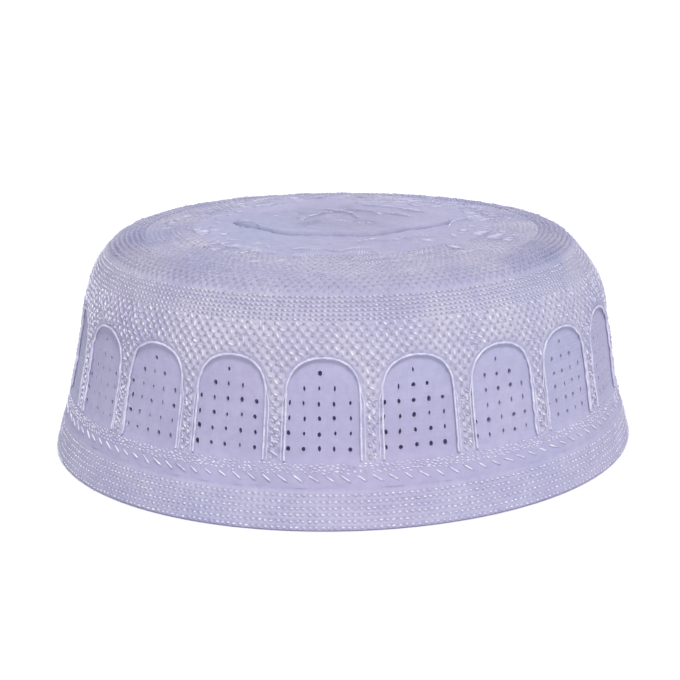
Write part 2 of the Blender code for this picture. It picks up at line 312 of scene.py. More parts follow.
def crease_height(radius, turn):
    """Each crease is a thin ridge with a shallow groove at either side, bowed a little to one side."""
    away = turn - MEDALLION_TURN
    right = radius * math.cos(away) / CROWN_EDGE_RADIUS
    back = radius * math.sin(away) / CROWN_EDGE_RADIUS
    ridges, grooves = 0.0, 0.0
    for right0, back0, right1, back1, share in CREASES:
        run = (right1 - right0, back1 - back0)
        length = math.hypot(*run)
        along = ((right - right0) * run[0] + (back - back0) * run[1]) / length
        beside = ((right - right0) * run[1] - (back - back0) * run[0]) / length
        beside += CREASE_BOW * length * math.sin(math.pi * along / length)
        if -CREASE_END < along < length + CREASE_END and abs(beside) < CREASE_NEAR:
            fade = smooth_step((along + CREASE_END) / CREASE_FADE)
            fade *= smooth_step((length + CREASE_END - along) / CREASE_FADE)
            offset = beside * CROWN_EDGE_RADIUS
            sides = hump(abs(offset) - CREASE_HALF_WIDTH, CREASE_HALF_WIDTH)
            bump = hump(offset, CREASE_HALF_WIDTH) - CREASE_DIP * sides
            relief = CREASE_HEIGHT * share * fade * bump
            ridges = max(ridges, relief)
            grooves = min(grooves, relief)
    return ridges + grooves


print("creases", len(CREASES))

# %% The crown's relief with its soft folds
CROWN_FROM_RADIUS = 0.075
CROWN_FADE = 0.004
FOLD_HEIGHT = 0.0016
FOLDS = [
    # turn, spread in degrees, from and to as shares of the crown's edge radius, height share
    (12, 15, 0.54, 0.92, 0.6),
    (58, 20, 0.56, 0.94, -0.5),
    (101, 13, 0.54, 0.90, 0.7),
    (146, 18, 0.56, 0.94, -0.6),
    (190, 14, 0.54, 0.92, 0.7),
    (229, 20, 0.56, 0.94, -0.5),
    (268, 15, 0.54, 0.92, 0.6),
    (316, 18, 0.56, 0.94, -0.6),
    (20, 16, 0.06, 0.46, 0.7),
    (95, 14, 0.06, 0.44, -0.6),
    (150, 16, 0.08, 0.46, 0.8),
    (215, 14, 0.06, 0.44, 0.6),
    (285, 16, 0.06, 0.46, -0.7),
]


def crown_relief(radius, turn):
    """The raised medallion and its broken seam, the soft folds and the creases."""
    edge = medallion_edge(turn)
    half = MEDALLION_SEAM_HALF
    relief = MEDALLION_RISE * smooth_step((edge + half - radius) / (2.0 * half))
    direction = Vector((math.cos(turn), math.sin(turn), 0.0))
    broken = SEAM_MEAN + SEAM_VARIES * noise.noise(direction * SEAM_PATCHES)
    relief -= MEDALLION_SEAM * broken * hump(radius - edge - half, half)
    for fold_turn, spread, inner, outer, share in FOLDS:
        away = degrees_from(turn, fold_turn)
        middle = (inner + outer) / 2 * CROWN_EDGE_RADIUS
        reach = (outer - inner) / 2 * CROWN_EDGE_RADIUS
        relief += FOLD_HEIGHT * share * hump(away, spread) * hump(radius - middle, reach)
    return relief + crease_height(radius, turn)


print("folds", len(FOLDS))

# %% Ridges under the rows of stitching
RING_STEP = 0.0016
RING_FIRST = 0.0640
RING_COUNT = 7
RING_RIDGE = 0.00060
SHOULDER_STEP = 0.0013
SHOULDER_FIRST_HEIGHT = 0.0634
SHOULDER_COUNT = 6
SHOULDER_RIDGE = 0.00022
HEM_STEP = 0.00175
HEM_FIRST_HEIGHT = 0.0011
HEM_COUNT = 6
FRONT_SHARE = 0.2
RING_START = along_radius(RING_FIRST)
SHOULDER_START = along_height(SHOULDER_FIRST_HEIGHT)
SEAM_ALONG = along_height(CROWN_SEAM_HEIGHT)


def in_rows(along, first, step, count):
    """1 among the rows of stitching that start at first and lie a step apart, 0 outside them."""
    low, high = sorted((first, first + step * (count - 1)))
    half = abs(step) / 2
    return smooth_step((along - low + 2 * half) / half) * smooth_step((high + 2 * half - along) / half)


def ridge(along, first, step, count, height):
    """Height of the ridges that rise under each row, with hollows between them."""
    wave = 0.5 + 0.5 * math.cos(2.0 * math.pi * (along - first) / step)
    return height * wave * in_rows(along, first, step, count)


def sideways(turn):
    """1 at the cap's left and right, where the ridges were ironed least, less in front and behind."""
    return FRONT_SHARE + (1.0 - FRONT_SHARE) * math.cos(turn - MEDALLION_TURN) ** 2


print("ridges", RING_COUNT, "on the crown and", SHOULDER_COUNT, "on the shoulder")

# %% The whole relief, and how the cap has settled
PANEL_CALM = 0.6
BULGE = 0.0015
BULGE_TURN = 66.0
BULGE_SPREAD = 75.0
BULGE_HEIGHT = 0.0400
BULGE_REACH = 0.0270
SLUMP = 0.0016
SLUMP_HEIGHT = 0.0635
SLUMP_REACH = 0.0130
SINK = 0.0012
SINK_TURN = 110.0
SINK_SPREAD = 95.0


def cloth_relief(turn, along):
    """How far the cloth stands out from the plain curve."""
    radius, height, _ = profile_at(along)
    relief = PUCKER * (pucker_at(turn, along, WIDE_PUCKER) + pucker_at(turn, along, FINE_PUCKER))
    if along > SEAM_ALONG:
        relief += crown_relief(radius, turn) * smooth_step((CROWN_FROM_RADIUS - radius) / CROWN_FADE)
        relief += sideways(turn) * ridge(along, RING_START, -RING_STEP, RING_COUNT, RING_RIDGE)
    else:
        panel = smooth_step(0.5 - outside_arches(turn, height) / PANEL_EDGE)
        relief = relief * (1.0 - PANEL_CALM * panel) - PANEL_DEPTH * panel
    return relief + ridge(along, SHOULDER_START, -SHOULDER_STEP, SHOULDER_COUNT, SHOULDER_RIDGE)


def settled(turn, radius, height):
    """Radius and height after the bulge, the slump over it and the sinking behind."""
    beside = hump(degrees_from(turn, BULGE_TURN), BULGE_SPREAD)
    radius += BULGE * beside * hump(height - BULGE_HEIGHT, BULGE_REACH)
    radius -= SLUMP * beside * hump(height - SLUMP_HEIGHT, SLUMP_REACH)
    raised = smooth_step((height - SHOULDER_HEIGHT) / (CROWN_EDGE_HEIGHT - SHOULDER_HEIGHT))
    behind = hump(degrees_from(turn, SINK_TURN), SINK_SPREAD) * smooth_step(radius / CROWN_EDGE_RADIUS)
    return radius, height - SINK * behind * raised


def on_cap(turn, along, lift=0.0):
    """A point on the cloth, or the given lift above it, on the stretched circle."""
    radius, height, (out_r, out_z) = profile_at(along)
    out = lift + cloth_relief(turn, along)
    radius, height = settled(turn, radius + out * out_r, height + out * out_z)
    return oval_point(turn, radius, height)


print("relief inside the medallion", cloth_relief(0.0, along_radius(MEDALLION_DEPTH / 2)))

# %% [markdown]
# Threads and cloth share one way of writing a material. Shader sums are easier to read as Python
# expressions than as a list of nodes, so a small class wraps a socket and adds a Math node for
# each operator. Every other node comes from one method, which takes the node's type, its settings
# and the values or links of its sockets.
# %% A socket that can be added and multiplied
UV_OUTPUT = 2
OBJECT_OUTPUT = 3
VALUE_OUTPUT = 2
MIX_INPUTS = (6, 7)
MIX_OUTPUT = 2
SHEEN_ROUGHNESS = 0.5
THREAD_SPECULAR = 0.2


class Wire:
    """A socket whose sums are Math nodes."""

    def __init__(self, recipe, socket):
        self.recipe = recipe
        self.socket = socket

    def maths(self, operation, first, second=0.0):
        return self.recipe.node("ShaderNodeMath", {"operation": operation}, {0: first, 1: second})[0]

    def __add__(self, other):
        return self.maths("ADD", self, other)

    def __radd__(self, other):
        return self.maths("ADD", other, self)

    def __sub__(self, other):
        return self.maths("SUBTRACT", self, other)

    def __rsub__(self, other):
        return self.maths("SUBTRACT", other, self)

    def __mul__(self, other):
        return self.maths("MULTIPLY", self, other)

    def __rmul__(self, other):
        return self.maths("MULTIPLY", other, self)

    def cosine(self):
        return self.maths("COSINE", self)

    def at_least(self, other):
        return self.maths("MAXIMUM", self, other)


# %% A material's nodes


class Recipe:
    """A material's nodes, with the Principled shader that the material starts with."""

    def __init__(self, name, roughness, sheen=0.0):
        self.material = bpy.data.materials.new(name)
        self.material.use_nodes = True
        self.tree = self.material.node_tree
        self.shader = self.tree.nodes["Principled BSDF"]
        self.set_sockets({
            "Roughness": roughness,
            "Sheen Weight": sheen,
            "Sheen Roughness": SHEEN_ROUGHNESS,
            "Specular IOR Level": THREAD_SPECULAR,
        })

    def set_sockets(self, values):
        """Values that are the same all over the surface."""
        for name, value in values.items():
            self.shader.inputs[name].default_value = value

    def node(self, kind, settings=None, values=None):
        """A new node's outputs, after its settings and its sockets' values or links are set."""
        made = self.tree.nodes.new(kind)
        for name, setting in (settings or {}).items():
            setattr(made, name, setting)
        for name, value in (values or {}).items():
            if isinstance(value, Wire):
                self.tree.links.new(value.socket, made.inputs[name])
            else:
                made.inputs[name].default_value = value
        return [Wire(self, output) for output in made.outputs]

    def object_place(self):
        return self.node("ShaderNodeTexCoord")[OBJECT_OUTPUT]

    def uv_parts(self):
        """The two parts of the UV map: the share of the way round, and metres up the cloth."""
        uv = self.node("ShaderNodeTexCoord")[UV_OUTPUT]
        return self.node("ShaderNodeSeparateXYZ", values={0: uv})[:2]

    def noise(self, place, scale, detail=2.0):
        return self.node("ShaderNodeTexNoise", values={"Vector": place, "Scale": scale, "Detail": detail})[0]

    def point_value(self, name):
        return self.node("ShaderNodeAttribute", {"attribute_name": name})[VALUE_OUTPUT]

    def mixed(self, share, first, second):
        values = {0: share}
        for socket, colour in zip(MIX_INPUTS, (first, second)):
            values[socket] = colour if isinstance(colour, Wire) else (*colour, 1.0)
        settings = {"data_type": "RGBA", "clamp_factor": True}
        return self.node("ShaderNodeMix", settings, values)[MIX_OUTPUT]

    def finish(self, colour, height, depth, strength=1.0):
        """Link the colour and the bump, and hand over the material."""
        self.tree.links.new(colour.socket, self.shader.inputs["Base Color"])
        bump = self.node("ShaderNodeBump", values={"Strength": strength, "Distance": depth, "Height": height})
        self.tree.links.new(bump[0].socket, self.shader.inputs["Normal"])
        return self.material


# %% [markdown]
# The cloth is a plain cotton weave in lilac. Its colour drifts between a bluer and a pinker lilac
# from place to place, as dyed cotton does, and lint makes it a little lighter here and there. Where
# thread pulls the cloth down, small hollows lie between the stitches, and painted shade darkens them.
# The UV map says how far round and how far up the cloth a point is, so the hollows fall into step
# with the stitches that are laid later. Four values on the points say what is sewn there and where
# shade is painted: quilted and rowed choose between two patterns of hollows, the groove value paints
# shade into the seams, beside the creases and between the ridges, and pricked shows rows of needle
# holes.
# %% Cloth
WEAVE_PITCH = 0.00055
NET_COUNT = 186
NET_STEP = 0.00165
NET_FIRST_HEIGHT = 0.0197
NET_START = along_height(NET_FIRST_HEIGHT)
ROW_DOT_SPACING = 0.0018
ROW_DOTS = round(2.0 * math.pi * wall_radius(0.0) / ROW_DOT_SPACING)
RING_DOT_SPACING = 0.0015
RING_RADIUS = 0.0740
RING_DOTS = round(2.0 * math.pi * RING_RADIUS / RING_DOT_SPACING)
NEEDLE_COUNT = 620
NEEDLE_STEP = 0.0013
WEAVE_COUNT = round(2.0 * math.pi * FOOT_RADIUS / WEAVE_PITCH)
COTTON_ROUGHNESS = 0.95
COTTON_SHEEN = 0.08
DRIFT_SCALE = 14.0
DRIFT_GAIN = 3.0
LILAC_SHARE = 0.5
PATCH_SCALE = 45.0
CRUMPLE_SCALE = 380.0
FINE_DETAIL = 3.0
FUZZ_SCALE = 900.0
# Where the painted shade in the hollows between stitches starts, and how much it varies.
HOLLOW_SHADE_FROM = 0.25
HOLLOW_SHADE_LEAST = 0.3
HOLLOW_SHADE_GAIN = 1.9
NEEDLE_FROM = 1.75
NEEDLE_CRUMPLE = 1.2
LINT_PATCH = 0.9
LINT_CRUMPLE = 0.8
LINT_FUZZ = 0.3
LINT_WEAVE = 0.05
WORN_ROWS = 0.7
WORN_GAIN = 2.4
WORN_FROM = 0.78
WEAVE_BUMP = 0.08
FUZZ_BUMP = 0.25
CRUMPLE_BUMP = 0.9
# How strong the painted shade is in the hollows of the cloth and the hem and in the grooves, and how dark the
# needle holes are.
CLOTH_SHADE = 0.62
HEM_SHADE = 0.30
GROOVE_SHADE = 0.45
NEEDLE_SHADE = 0.9
CLOTH_BUMP = 0.00030
LILAC = (0.358, 0.354, 0.525)
BLUE_LILAC = (0.322, 0.354, 0.535)
PINK_LILAC = (0.388, 0.338, 0.502)
# The colour of the painted shade, also used for the needle holes.
SHADE_AND_HOLE_LILAC = (0.170, 0.165, 0.310)
LINT = (0.470, 0.465, 0.640)
WORN_LILAC = (0.530, 0.505, 0.615)


def waves(value, per_unit):
    """A cosine wave over the cloth, with so many waves to each unit of the value."""
    return (value * (2.0 * math.pi * per_unit)).cosine()


def sewn_pattern(recipe, turn_share, along, row_start, row_step, row_dots):
    """Above 0 under the stitches and below 0 in the hollows between them."""
    net = waves(turn_share, NET_COUNT) * waves(along - NET_START, 0.5 / NET_STEP)
    rows = waves(turn_share, row_dots) * (0.5 + 0.5 * waves(along - row_start, 1.0 / row_step))
    return net * recipe.point_value("quilted") + rows * recipe.point_value("rowed")


def cloth_material(name, row_start, row_step, row_dots, shade=CLOTH_SHADE):
    recipe = Recipe(name, COTTON_ROUGHNESS, COTTON_SHEEN)
    place = recipe.object_place()
    turn_share, along = recipe.uv_parts()
    sewn = sewn_pattern(recipe, turn_share, along, row_start, row_step, row_dots)
    drift = recipe.noise(place, DRIFT_SCALE)
    patch = recipe.noise(place, PATCH_SCALE, FINE_DETAIL)
    crumple = recipe.noise(place, CRUMPLE_SCALE, FINE_DETAIL)
    fuzz = recipe.noise(place, FUZZ_SCALE)
    weave = waves(turn_share, WEAVE_COUNT) * waves(along, 1.0 / WEAVE_PITCH)
    needle = waves(turn_share, NEEDLE_COUNT) + waves(along, 1.0 / NEEDLE_STEP)
    pricked = (needle + crumple * NEEDLE_CRUMPLE - NEEDLE_FROM).at_least(0.0) * recipe.point_value("pricked")
    # Painted shade: the hollows between the stitches are darkened in the colour.
    hollow_shade = (0.0 - sewn - HOLLOW_SHADE_FROM).at_least(0.0) * (HOLLOW_SHADE_LEAST + patch * HOLLOW_SHADE_GAIN)
    # All the painted shade, together with the dark of the needle holes.
    shade_and_holes = hollow_shade * shade + recipe.point_value("painted_groove_shade") * GROOVE_SHADE + pricked * NEEDLE_SHADE
    lint = (patch - 0.5) * LINT_PATCH + (crumple - 0.5) * LINT_CRUMPLE + fuzz * LINT_FUZZ + weave * LINT_WEAVE
    sewn_on = recipe.point_value("quilted") + recipe.point_value("rowed") * WORN_ROWS
    worn = sewn_on * (patch * WORN_GAIN - WORN_FROM)
    colour = recipe.mixed((drift - 0.5) * DRIFT_GAIN + 0.5, BLUE_LILAC, PINK_LILAC)
    for share, tint in ((LILAC_SHARE, LILAC), (lint, LINT), (worn, WORN_LILAC), (shade_and_holes, SHADE_AND_HOLE_LILAC)):
        colour = recipe.mixed(share, colour, tint)
    height = sewn + weave * WEAVE_BUMP + fuzz * FUZZ_BUMP + crumple * CRUMPLE_BUMP
    return recipe.finish(colour, height, CLOTH_BUMP)


band_material = cloth_material("band_cotton", SHOULDER_START, SHOULDER_STEP, RING_DOTS)
crown_material = cloth_material("crown_cotton", SHOULDER_START, SHOULDER_STEP, RING_DOTS)
hem_material = cloth_material("hem_cotton", HEM_FIRST_HEIGHT, HEM_STEP, ROW_DOTS, HEM_SHADE)
print("nodes in the band's cotton", len(band_material.node_tree.nodes))

# %% Thread
THREAD_ROUGHNESS = 0.6
THREAD_SHEEN = 0.05
TONE_SCALE = 420.0
TONE_GAIN = 2.2
STRAND = 0.0003
THREAD_BUMP = 0.00008
THREAD_BUMP_STRENGTH = 0.5
THREAD_PALE = (0.850, 0.830, 0.890)
THREAD_LILAC = (0.460, 0.445, 0.620)
CORD_PALE = (0.680, 0.665, 0.780)
CORD_LILAC = (0.430, 0.420, 0.600)
SOFT_PALE = (0.520, 0.515, 0.690)
SOFT_LILAC = (0.370, 0.365, 0.560)


def thread_material(name, colour, shade):
    recipe = Recipe(name, THREAD_ROUGHNESS, THREAD_SHEEN)
    place = recipe.object_place()
    tone = recipe.noise(place, TONE_SCALE)
    fibre = recipe.noise(place, 0.5 / STRAND, 1.0)
    blend = recipe.mixed((tone - 0.5) * TONE_GAIN + 0.5, shade, colour)
    return recipe.finish(blend, fibre, THREAD_BUMP, THREAD_BUMP_STRENGTH)


pale_thread = thread_material("pale_thread", THREAD_PALE, THREAD_LILAC)
soft_thread = thread_material("soft_thread", SOFT_PALE, SOFT_LILAC)
cord_thread = thread_material("cord_thread", CORD_PALE, CORD_LILAC)
print("materials", len(bpy.data.materials))

# %% [markdown]
# A sheet that follows a curve is easiest to make from a flat grid: Blender's grid operator gives
# the faces, and each vertex is then carried to its place and gets its place on the flat cloth as
# UV. Where the two sides of the grid meet, the doubles are merged. Open edges are marked sharp, so
# that a sheet's cut edge stays crisp when the sheet gets its wall.
# %% Bending a grid
MERGE_DISTANCE = 0.00001


def bent_grid(columns, rows, place, uv_place=None, marks=None):
    """A grid carried to its place. Marks are values for its points, which its material reads by name."""
    bm = bmesh.new()
    uv_layer = bm.loops.layers.uv.new("UVMap")
    layers = {name: bm.verts.layers.float.new(name) for name in marks or ()}
    bmesh.ops.create_grid(bm, x_segments=columns, y_segments=rows, size=1.0)
    steps = {}
    for vertex in bm.verts:
        steps[vertex] = (
            round((vertex.co.x + 1.0) / 2.0 * columns),
            round((vertex.co.y + 1.0) / 2.0 * rows),
        )
    for vertex, (column, row) in steps.items():
        vertex.co = place(column, row)
        for name, layer in layers.items():
            vertex[layer] = marks[name](column, row)
    for face in bm.faces:
        for loop in face.loops:
            column, row = steps[loop.vert]
            loop[uv_layer].uv = uv_place(column, row) if uv_place else (column / columns, row / rows)
    return bm, steps


print("grids merge points closer than", MERGE_DISTANCE)

# %% From a bent grid to a piece
SHARP_ANGLE = math.radians(60.0)


def mesh_from(bm, name):
    mesh = bpy.data.meshes.new(name)
    bm.to_mesh(mesh)
    bm.free()
    return mesh


def object_from(data, name):
    made = bpy.data.objects.new(name, data)
    bpy.context.scene.collection.objects.link(made)
    return made


def mesh_object(bm, name, material, body="root"):
    for face in bm.faces:
        face.smooth = True
    for edge in bm.edges:
        edge.smooth = not edge.is_boundary
    piece = object_from(mesh_from(bm, name), name)
    piece.data.materials.append(material)
    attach(piece, body)
    return piece


def close_up(bm, distance=MERGE_DISTANCE):
    """Merge the sides of a bent grid that meet, and turn the closed shell's faces outwards."""
    bmesh.ops.remove_doubles(bm, verts=bm.verts, dist=distance)
    bmesh.ops.recalc_face_normals(bm, faces=bm.faces)


def closed_piece(bm, name, material):
    close_up(bm)
    piece = mesh_object(bm, name, material)
    piece.data.set_sharp_from_angle(angle=SHARP_ANGLE)
    return piece


def face_outwards(bm):
    """Turn every face of an open wall away from the cap's middle."""
    bmesh.ops.recalc_face_normals(bm, faces=bm.faces)
    tally = sum(face.normal.dot(face.calc_center_median()) for face in bm.faces)
    if tally < 0.0:
        bmesh.ops.reverse_faces(bm, faces=bm.faces)


def thicken(piece, wall):
    modifier = piece.modifiers.new("cloth", "SOLIDIFY")
    modifier.thickness = wall
    modifier.offset = -1.0
    modifier.use_even_offset = True
    modifier.use_quality_normals = True


# %% [markdown]
# The band carries the arches. Each panel has 24 worked eyelets in rows of five, with three and one
# under the arch's head. The grid's cells are a quarter of the eyelets' spacing, so each eyelet sits
# on a vertex. The eight vertices round it are drawn in to a narrow oval, and the four faces between
# them are taken out: a real hole, cut through the sheet. Holes sewn by hand are never alike, so their
# sizes, their lean and their places vary, and some are pulled into slits. The band is quilted
# everywhere outside the arches, from their foot up to the rows of stitching on the shoulder.
# %% The grid of the pierced band
CELLS_PER_ARCH = 25
CELLS_PER_EYELET = 4
EYELET_FIRST_CELL = 11
EYELET_ROW_HEIGHT = 0.0224
BAND_ROWS_BELOW = 10
BAND_ROWS_ABOVE = 36
CELL_HEIGHT = (EYELET_ROW_HEIGHT - HEM_TOP) / BAND_ROWS_BELOW
EYELET_ROWS = [2, 2, 2, 2, 1, 0]
BAND_COLUMNS = ARCHES * CELLS_PER_ARCH
BAND_ROWS = BAND_ROWS_BELOW + BAND_ROWS_ABOVE
CELL_TURN = 2.0 * math.pi / BAND_COLUMNS
BAND_TURN = ARCH_FIRST_TURN - ARCH_PITCH / 2


def band_along(row):
    """The cells keep one height up to the last eyelet and share out the way to the seam above it."""
    last_eyelet = BAND_ROWS_BELOW + CELLS_PER_EYELET * len(EYELET_ROWS)
    height = EYELET_ROW_HEIGHT + (row - BAND_ROWS_BELOW) * CELL_HEIGHT
    if row <= last_eyelet:
        return along_height(height)
    start = along_height(EYELET_ROW_HEIGHT + (last_eyelet - BAND_ROWS_BELOW) * CELL_HEIGHT)
    return start + (SEAM_ALONG - start) * (row - last_eyelet) / (BAND_ROWS - last_eyelet)


def band_place(column, row):
    return on_cap(BAND_TURN + column % BAND_COLUMNS * CELL_TURN, band_along(row))


def band_uv(column, row):
    return (BAND_TURN + column * CELL_TURN) / (2.0 * math.pi), band_along(row)


print("band grid", BAND_COLUMNS, "by", BAND_ROWS)

# %% What is sewn where on the band
NET_TOP = 0.0570
NET_TOP_OVER = 0.0010
NET_TOP_FADE = 0.0015
QUILT_FROM = 0.0004
QUILT_FADE = 0.0010
PRICKED_FADE = 0.002
PRICKED_LEAST = 0.15
PRICKED_TURN = 55.0
PRICKED_SPREAD = 50.0


def quilted_at(column, row):
    height = profile_at(band_along(row))[1]
    outside = outside_arches(BAND_TURN + column * CELL_TURN, height)
    clear = smooth_step((outside - QUILT_FROM) / QUILT_FADE)
    foot = smooth_step((height - ARCH_FOOT_HEIGHT + QUILT_FROM) / QUILT_FADE)
    return clear * foot * smooth_step((NET_TOP + NET_TOP_OVER - height) / NET_TOP_FADE)


def rowed_at(column, row):
    return in_rows(band_along(row), SHOULDER_START, -SHOULDER_STEP, SHOULDER_COUNT)


def pricked_at(column, row):
    """Rows of tiny needle holes show in the panels, most of all on one side."""
    turn = BAND_TURN + column * CELL_TURN
    inside = -outside_arches(turn, profile_at(band_along(row))[1])
    beside = hump(degrees_from(turn, PRICKED_TURN), PRICKED_SPREAD)
    return smooth_step(inside / PRICKED_FADE) * (PRICKED_LEAST + (1.0 - PRICKED_LEAST) * beside)


print("quilted from", ARCH_FOOT_HEIGHT, "to", NET_TOP)

# %% Cutting the eyelets
EYELET_SHIFT = 0.0005
SLIT_SHARE = 0.4
SLIT_HALF_WIDTHS = (0.00028, 0.00040)
OPEN_HALF_WIDTHS = (0.00044, 0.00066)
EYELET_HALF_HEIGHTS = (0.00062, 0.00092)
EYELET_LEAN = 0.35
STRAY_AROUND = 0.00025
STRAY_UP = 0.0002
eyelet_draw = random.Random(11)
eyelets = []


def cut_eyelet(at_step, bm, column, row):
    """Draw the eight vertices round a grid point in to an oval and open the faces between them."""
    slit = eyelet_draw.random() < SLIT_SHARE
    half_width = eyelet_draw.uniform(*(SLIT_HALF_WIDTHS if slit else OPEN_HALF_WIDTHS))
    half_height = eyelet_draw.uniform(*EYELET_HALF_HEIGHTS)
    lean = eyelet_draw.uniform(-EYELET_LEAN, EYELET_LEAN)
    shift = EYELET_SHIFT + eyelet_draw.uniform(-STRAY_AROUND, STRAY_AROUND)
    turn = BAND_TURN + column * CELL_TURN + shift / FOOT_RADIUS
    height = profile_at(band_along(row))[1] + eyelet_draw.uniform(-STRAY_UP, STRAY_UP)
    radius = wall_radius(height)
    for across in (-1, 0, 1):
        for up in (-1, 0, 1):
            if across or up:
                angle = math.atan2(up, across) + lean
                new_turn = turn + half_width * math.cos(angle) / radius
                new_height = height + half_height * math.sin(angle)
                at_step[column + across, row + up].co = on_cap(new_turn, along_height(new_height))
    bmesh.ops.delete(bm, geom=at_step[column, row].link_faces[:], context="FACES")
    eyelets.append((turn, height, half_width, half_height, lean))


def make_band():
    marks = {"quilted": quilted_at, "rowed": rowed_at, "pricked": pricked_at}
    bm, steps = bent_grid(BAND_COLUMNS, BAND_ROWS, band_place, band_uv, marks)
    at_step = {step: vertex for vertex, step in steps.items()}
    for arch in range(ARCHES):
        for number, reach in enumerate(EYELET_ROWS):
            row = BAND_ROWS_BELOW + number * CELLS_PER_EYELET
            for place in range(-reach, reach + 1):
                column = arch * CELLS_PER_ARCH + EYELET_FIRST_CELL + place * CELLS_PER_EYELET
                cut_eyelet(at_step, bm, column, row)
    bmesh.ops.remove_doubles(bm, verts=bm.verts, dist=MERGE_DISTANCE)
    face_outwards(bm)
    band = mesh_object(bm, "band_cloth", band_material)
    thicken(band, BAND_WALL)
    return band


band_cloth = make_band()
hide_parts("side_band")
print("eyelets", len(eyelets), "faces", len(band_cloth.data.polygons))

# %% [markdown]
# The crown is one round of quilted cloth. Its rings run up the outside to the middle, where they
# draw together in one point, and come back under it to the seam, so one bent grid makes the whole
# wall. The outer rings lie closer where rows of stitching run and round the medallion, because a
# ridge needs more points than a flat place, and the underside makes do with a few.
# %% The rings of the crown
CROWN_COLUMNS = 470
ROW_STEPS = [
    # rings inside this radius, lie this far apart
    (0.0180, 0.00040),
    (0.0370, 0.00042),
    (0.0590, 0.00062),
    (0.1000, 0.00040),
]
UNDERSIDE_STEP = 0.0035


def crown_section():
    """Place along the curve and depth under the surface of each ring of the crown."""
    along = SEAM_ALONG
    section = []
    while along < FULL_LENGTH:
        section.append((along, 0.0))
        radius = profile_at(along)[0]
        along += next(step for reach, step in ROW_STEPS if radius < reach)
    section += [(FULL_LENGTH, 0.0), (FULL_LENGTH, CROWN_WALL)]
    rings = int((FULL_LENGTH - SEAM_ALONG) / UNDERSIDE_STEP)
    for ring in range(1, rings + 1):
        section.append((FULL_LENGTH + (SEAM_ALONG - FULL_LENGTH) * ring / rings, CROWN_WALL))
    return section


CROWN_SECTION = crown_section()


def crown_place(column, row):
    along, depth = CROWN_SECTION[row % len(CROWN_SECTION)]
    turn = 0.0 if along == FULL_LENGTH else 2.0 * math.pi * (column % CROWN_COLUMNS) / CROWN_COLUMNS
    return on_cap(turn, along, -depth)


def crown_uv(column, row):
    return column / CROWN_COLUMNS, CROWN_SECTION[row % len(CROWN_SECTION)][0]


print("crown rings", len(CROWN_SECTION))

# %% What is sewn where on the crown
HATCH_INNER = 0.0470
HATCH_OUTER = 0.0768
HATCH_INNER_FADE = 0.002
HATCH_OUTER_FADE = 0.004


def crown_quilted_at(column, row):
    radius = profile_at(crown_uv(column, row)[1])[0]
    outer = smooth_step((HATCH_OUTER - radius) / HATCH_OUTER_FADE)
    return smooth_step((radius - HATCH_INNER) / HATCH_INNER_FADE) * outer


def crown_rowed_at(column, row):
    return in_rows(crown_uv(column, row)[1], SHOULDER_START, -SHOULDER_STEP, SHOULDER_COUNT)


def crown_groove_shade_at(column, row):
    """Painted shade: 1 deep between the ridges, in the medallion's seam and beside the creases."""
    turn, along = 2.0 * math.pi * column / CROWN_COLUMNS, crown_uv(column, row)[1]
    radius = profile_at(along)[0]
    seam = hump(radius - medallion_edge(turn) - MEDALLION_SEAM_HALF, MEDALLION_SEAM_HALF)
    between = 0.5 - 0.5 * math.cos(2.0 * math.pi * (along - RING_START) / RING_STEP)
    rings = sideways(turn) * between * in_rows(along, RING_START, -RING_STEP, RING_COUNT)
    return seam + rings + max(0.0, -0.5 * crease_height(radius, turn) / CREASE_HEIGHT)


def make_crown():
    marks = {"quilted": crown_quilted_at, "rowed": crown_rowed_at, "painted_groove_shade": crown_groove_shade_at}
    bm, _ = bent_grid(CROWN_COLUMNS, len(CROWN_SECTION), crown_place, crown_uv, marks)
    return closed_piece(bm, "crown_cloth", crown_material)


crown_cloth = make_crown()
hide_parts("crown")
print("crown faces", len(crown_cloth.data.polygons))

# %% [markdown]
# The hem is a strip folded over the edge of the band and stitched down in six rows. Its section is
# a closed strip, a little proud of the band and flush with it at the top, and it swells between the
# rows. The section is carried right round.
# %% The hem
HEM_COLUMNS = 360
HEM_OUTER_ROWS = 30
HEM_TOP_ROWS = 2
HEM_INNER_ROWS = 8
HEM_FOOT_ROWS = 6
HEM_ROUND = 0.0009
HEM_FLUSH_FROM = 0.0096
HEM_THICKENING = 3.0
HEM_RIDGE = 0.00016
HEM_PUCKER = 0.00012
HEM_PUCKER_SIZE = 0.004
HEM_CALM_TOP = 0.001
HEM_ROWED = 0.6


def hem_outer(height):
    proud = HEM_PROUD * (1.0 - smooth_step((height - HEM_FLUSH_FROM) / (HEM_TOP - HEM_FLUSH_FROM)))
    return wall_radius(height) + proud


def hem_section():
    """Radius, height and a share that is 1 on the outer face, round the section from its foot."""
    points = []
    for step in range(HEM_OUTER_ROWS):
        height = HEM_ROUND + (HEM_TOP - HEM_ROUND) * step / (HEM_OUTER_ROWS - 1)
        points.append((hem_outer(height), height, 1.0))
    for step in range(1, HEM_TOP_ROWS):
        points.append((hem_outer(HEM_TOP) - BAND_WALL * step / HEM_TOP_ROWS, HEM_TOP, 0.0))
    for step in range(HEM_INNER_ROWS):
        share = step / (HEM_INNER_ROWS - 1)
        height = HEM_TOP - (HEM_TOP - HEM_ROUND) * share
        wall = BAND_WALL + (HEM_WALL - BAND_WALL) * smooth_step(share * HEM_THICKENING)
        points.append((hem_outer(height) - wall, height, 0.0))
    middle = hem_outer(HEM_ROUND) - HEM_WALL / 2
    for step in range(1, HEM_FOOT_ROWS):
        angle = math.pi * step / HEM_FOOT_ROWS
        points.append((middle - HEM_WALL / 2 * math.cos(angle), HEM_ROUND * (1.0 - math.sin(angle)), 0.0))
    return points


HEM_POINTS = hem_section()


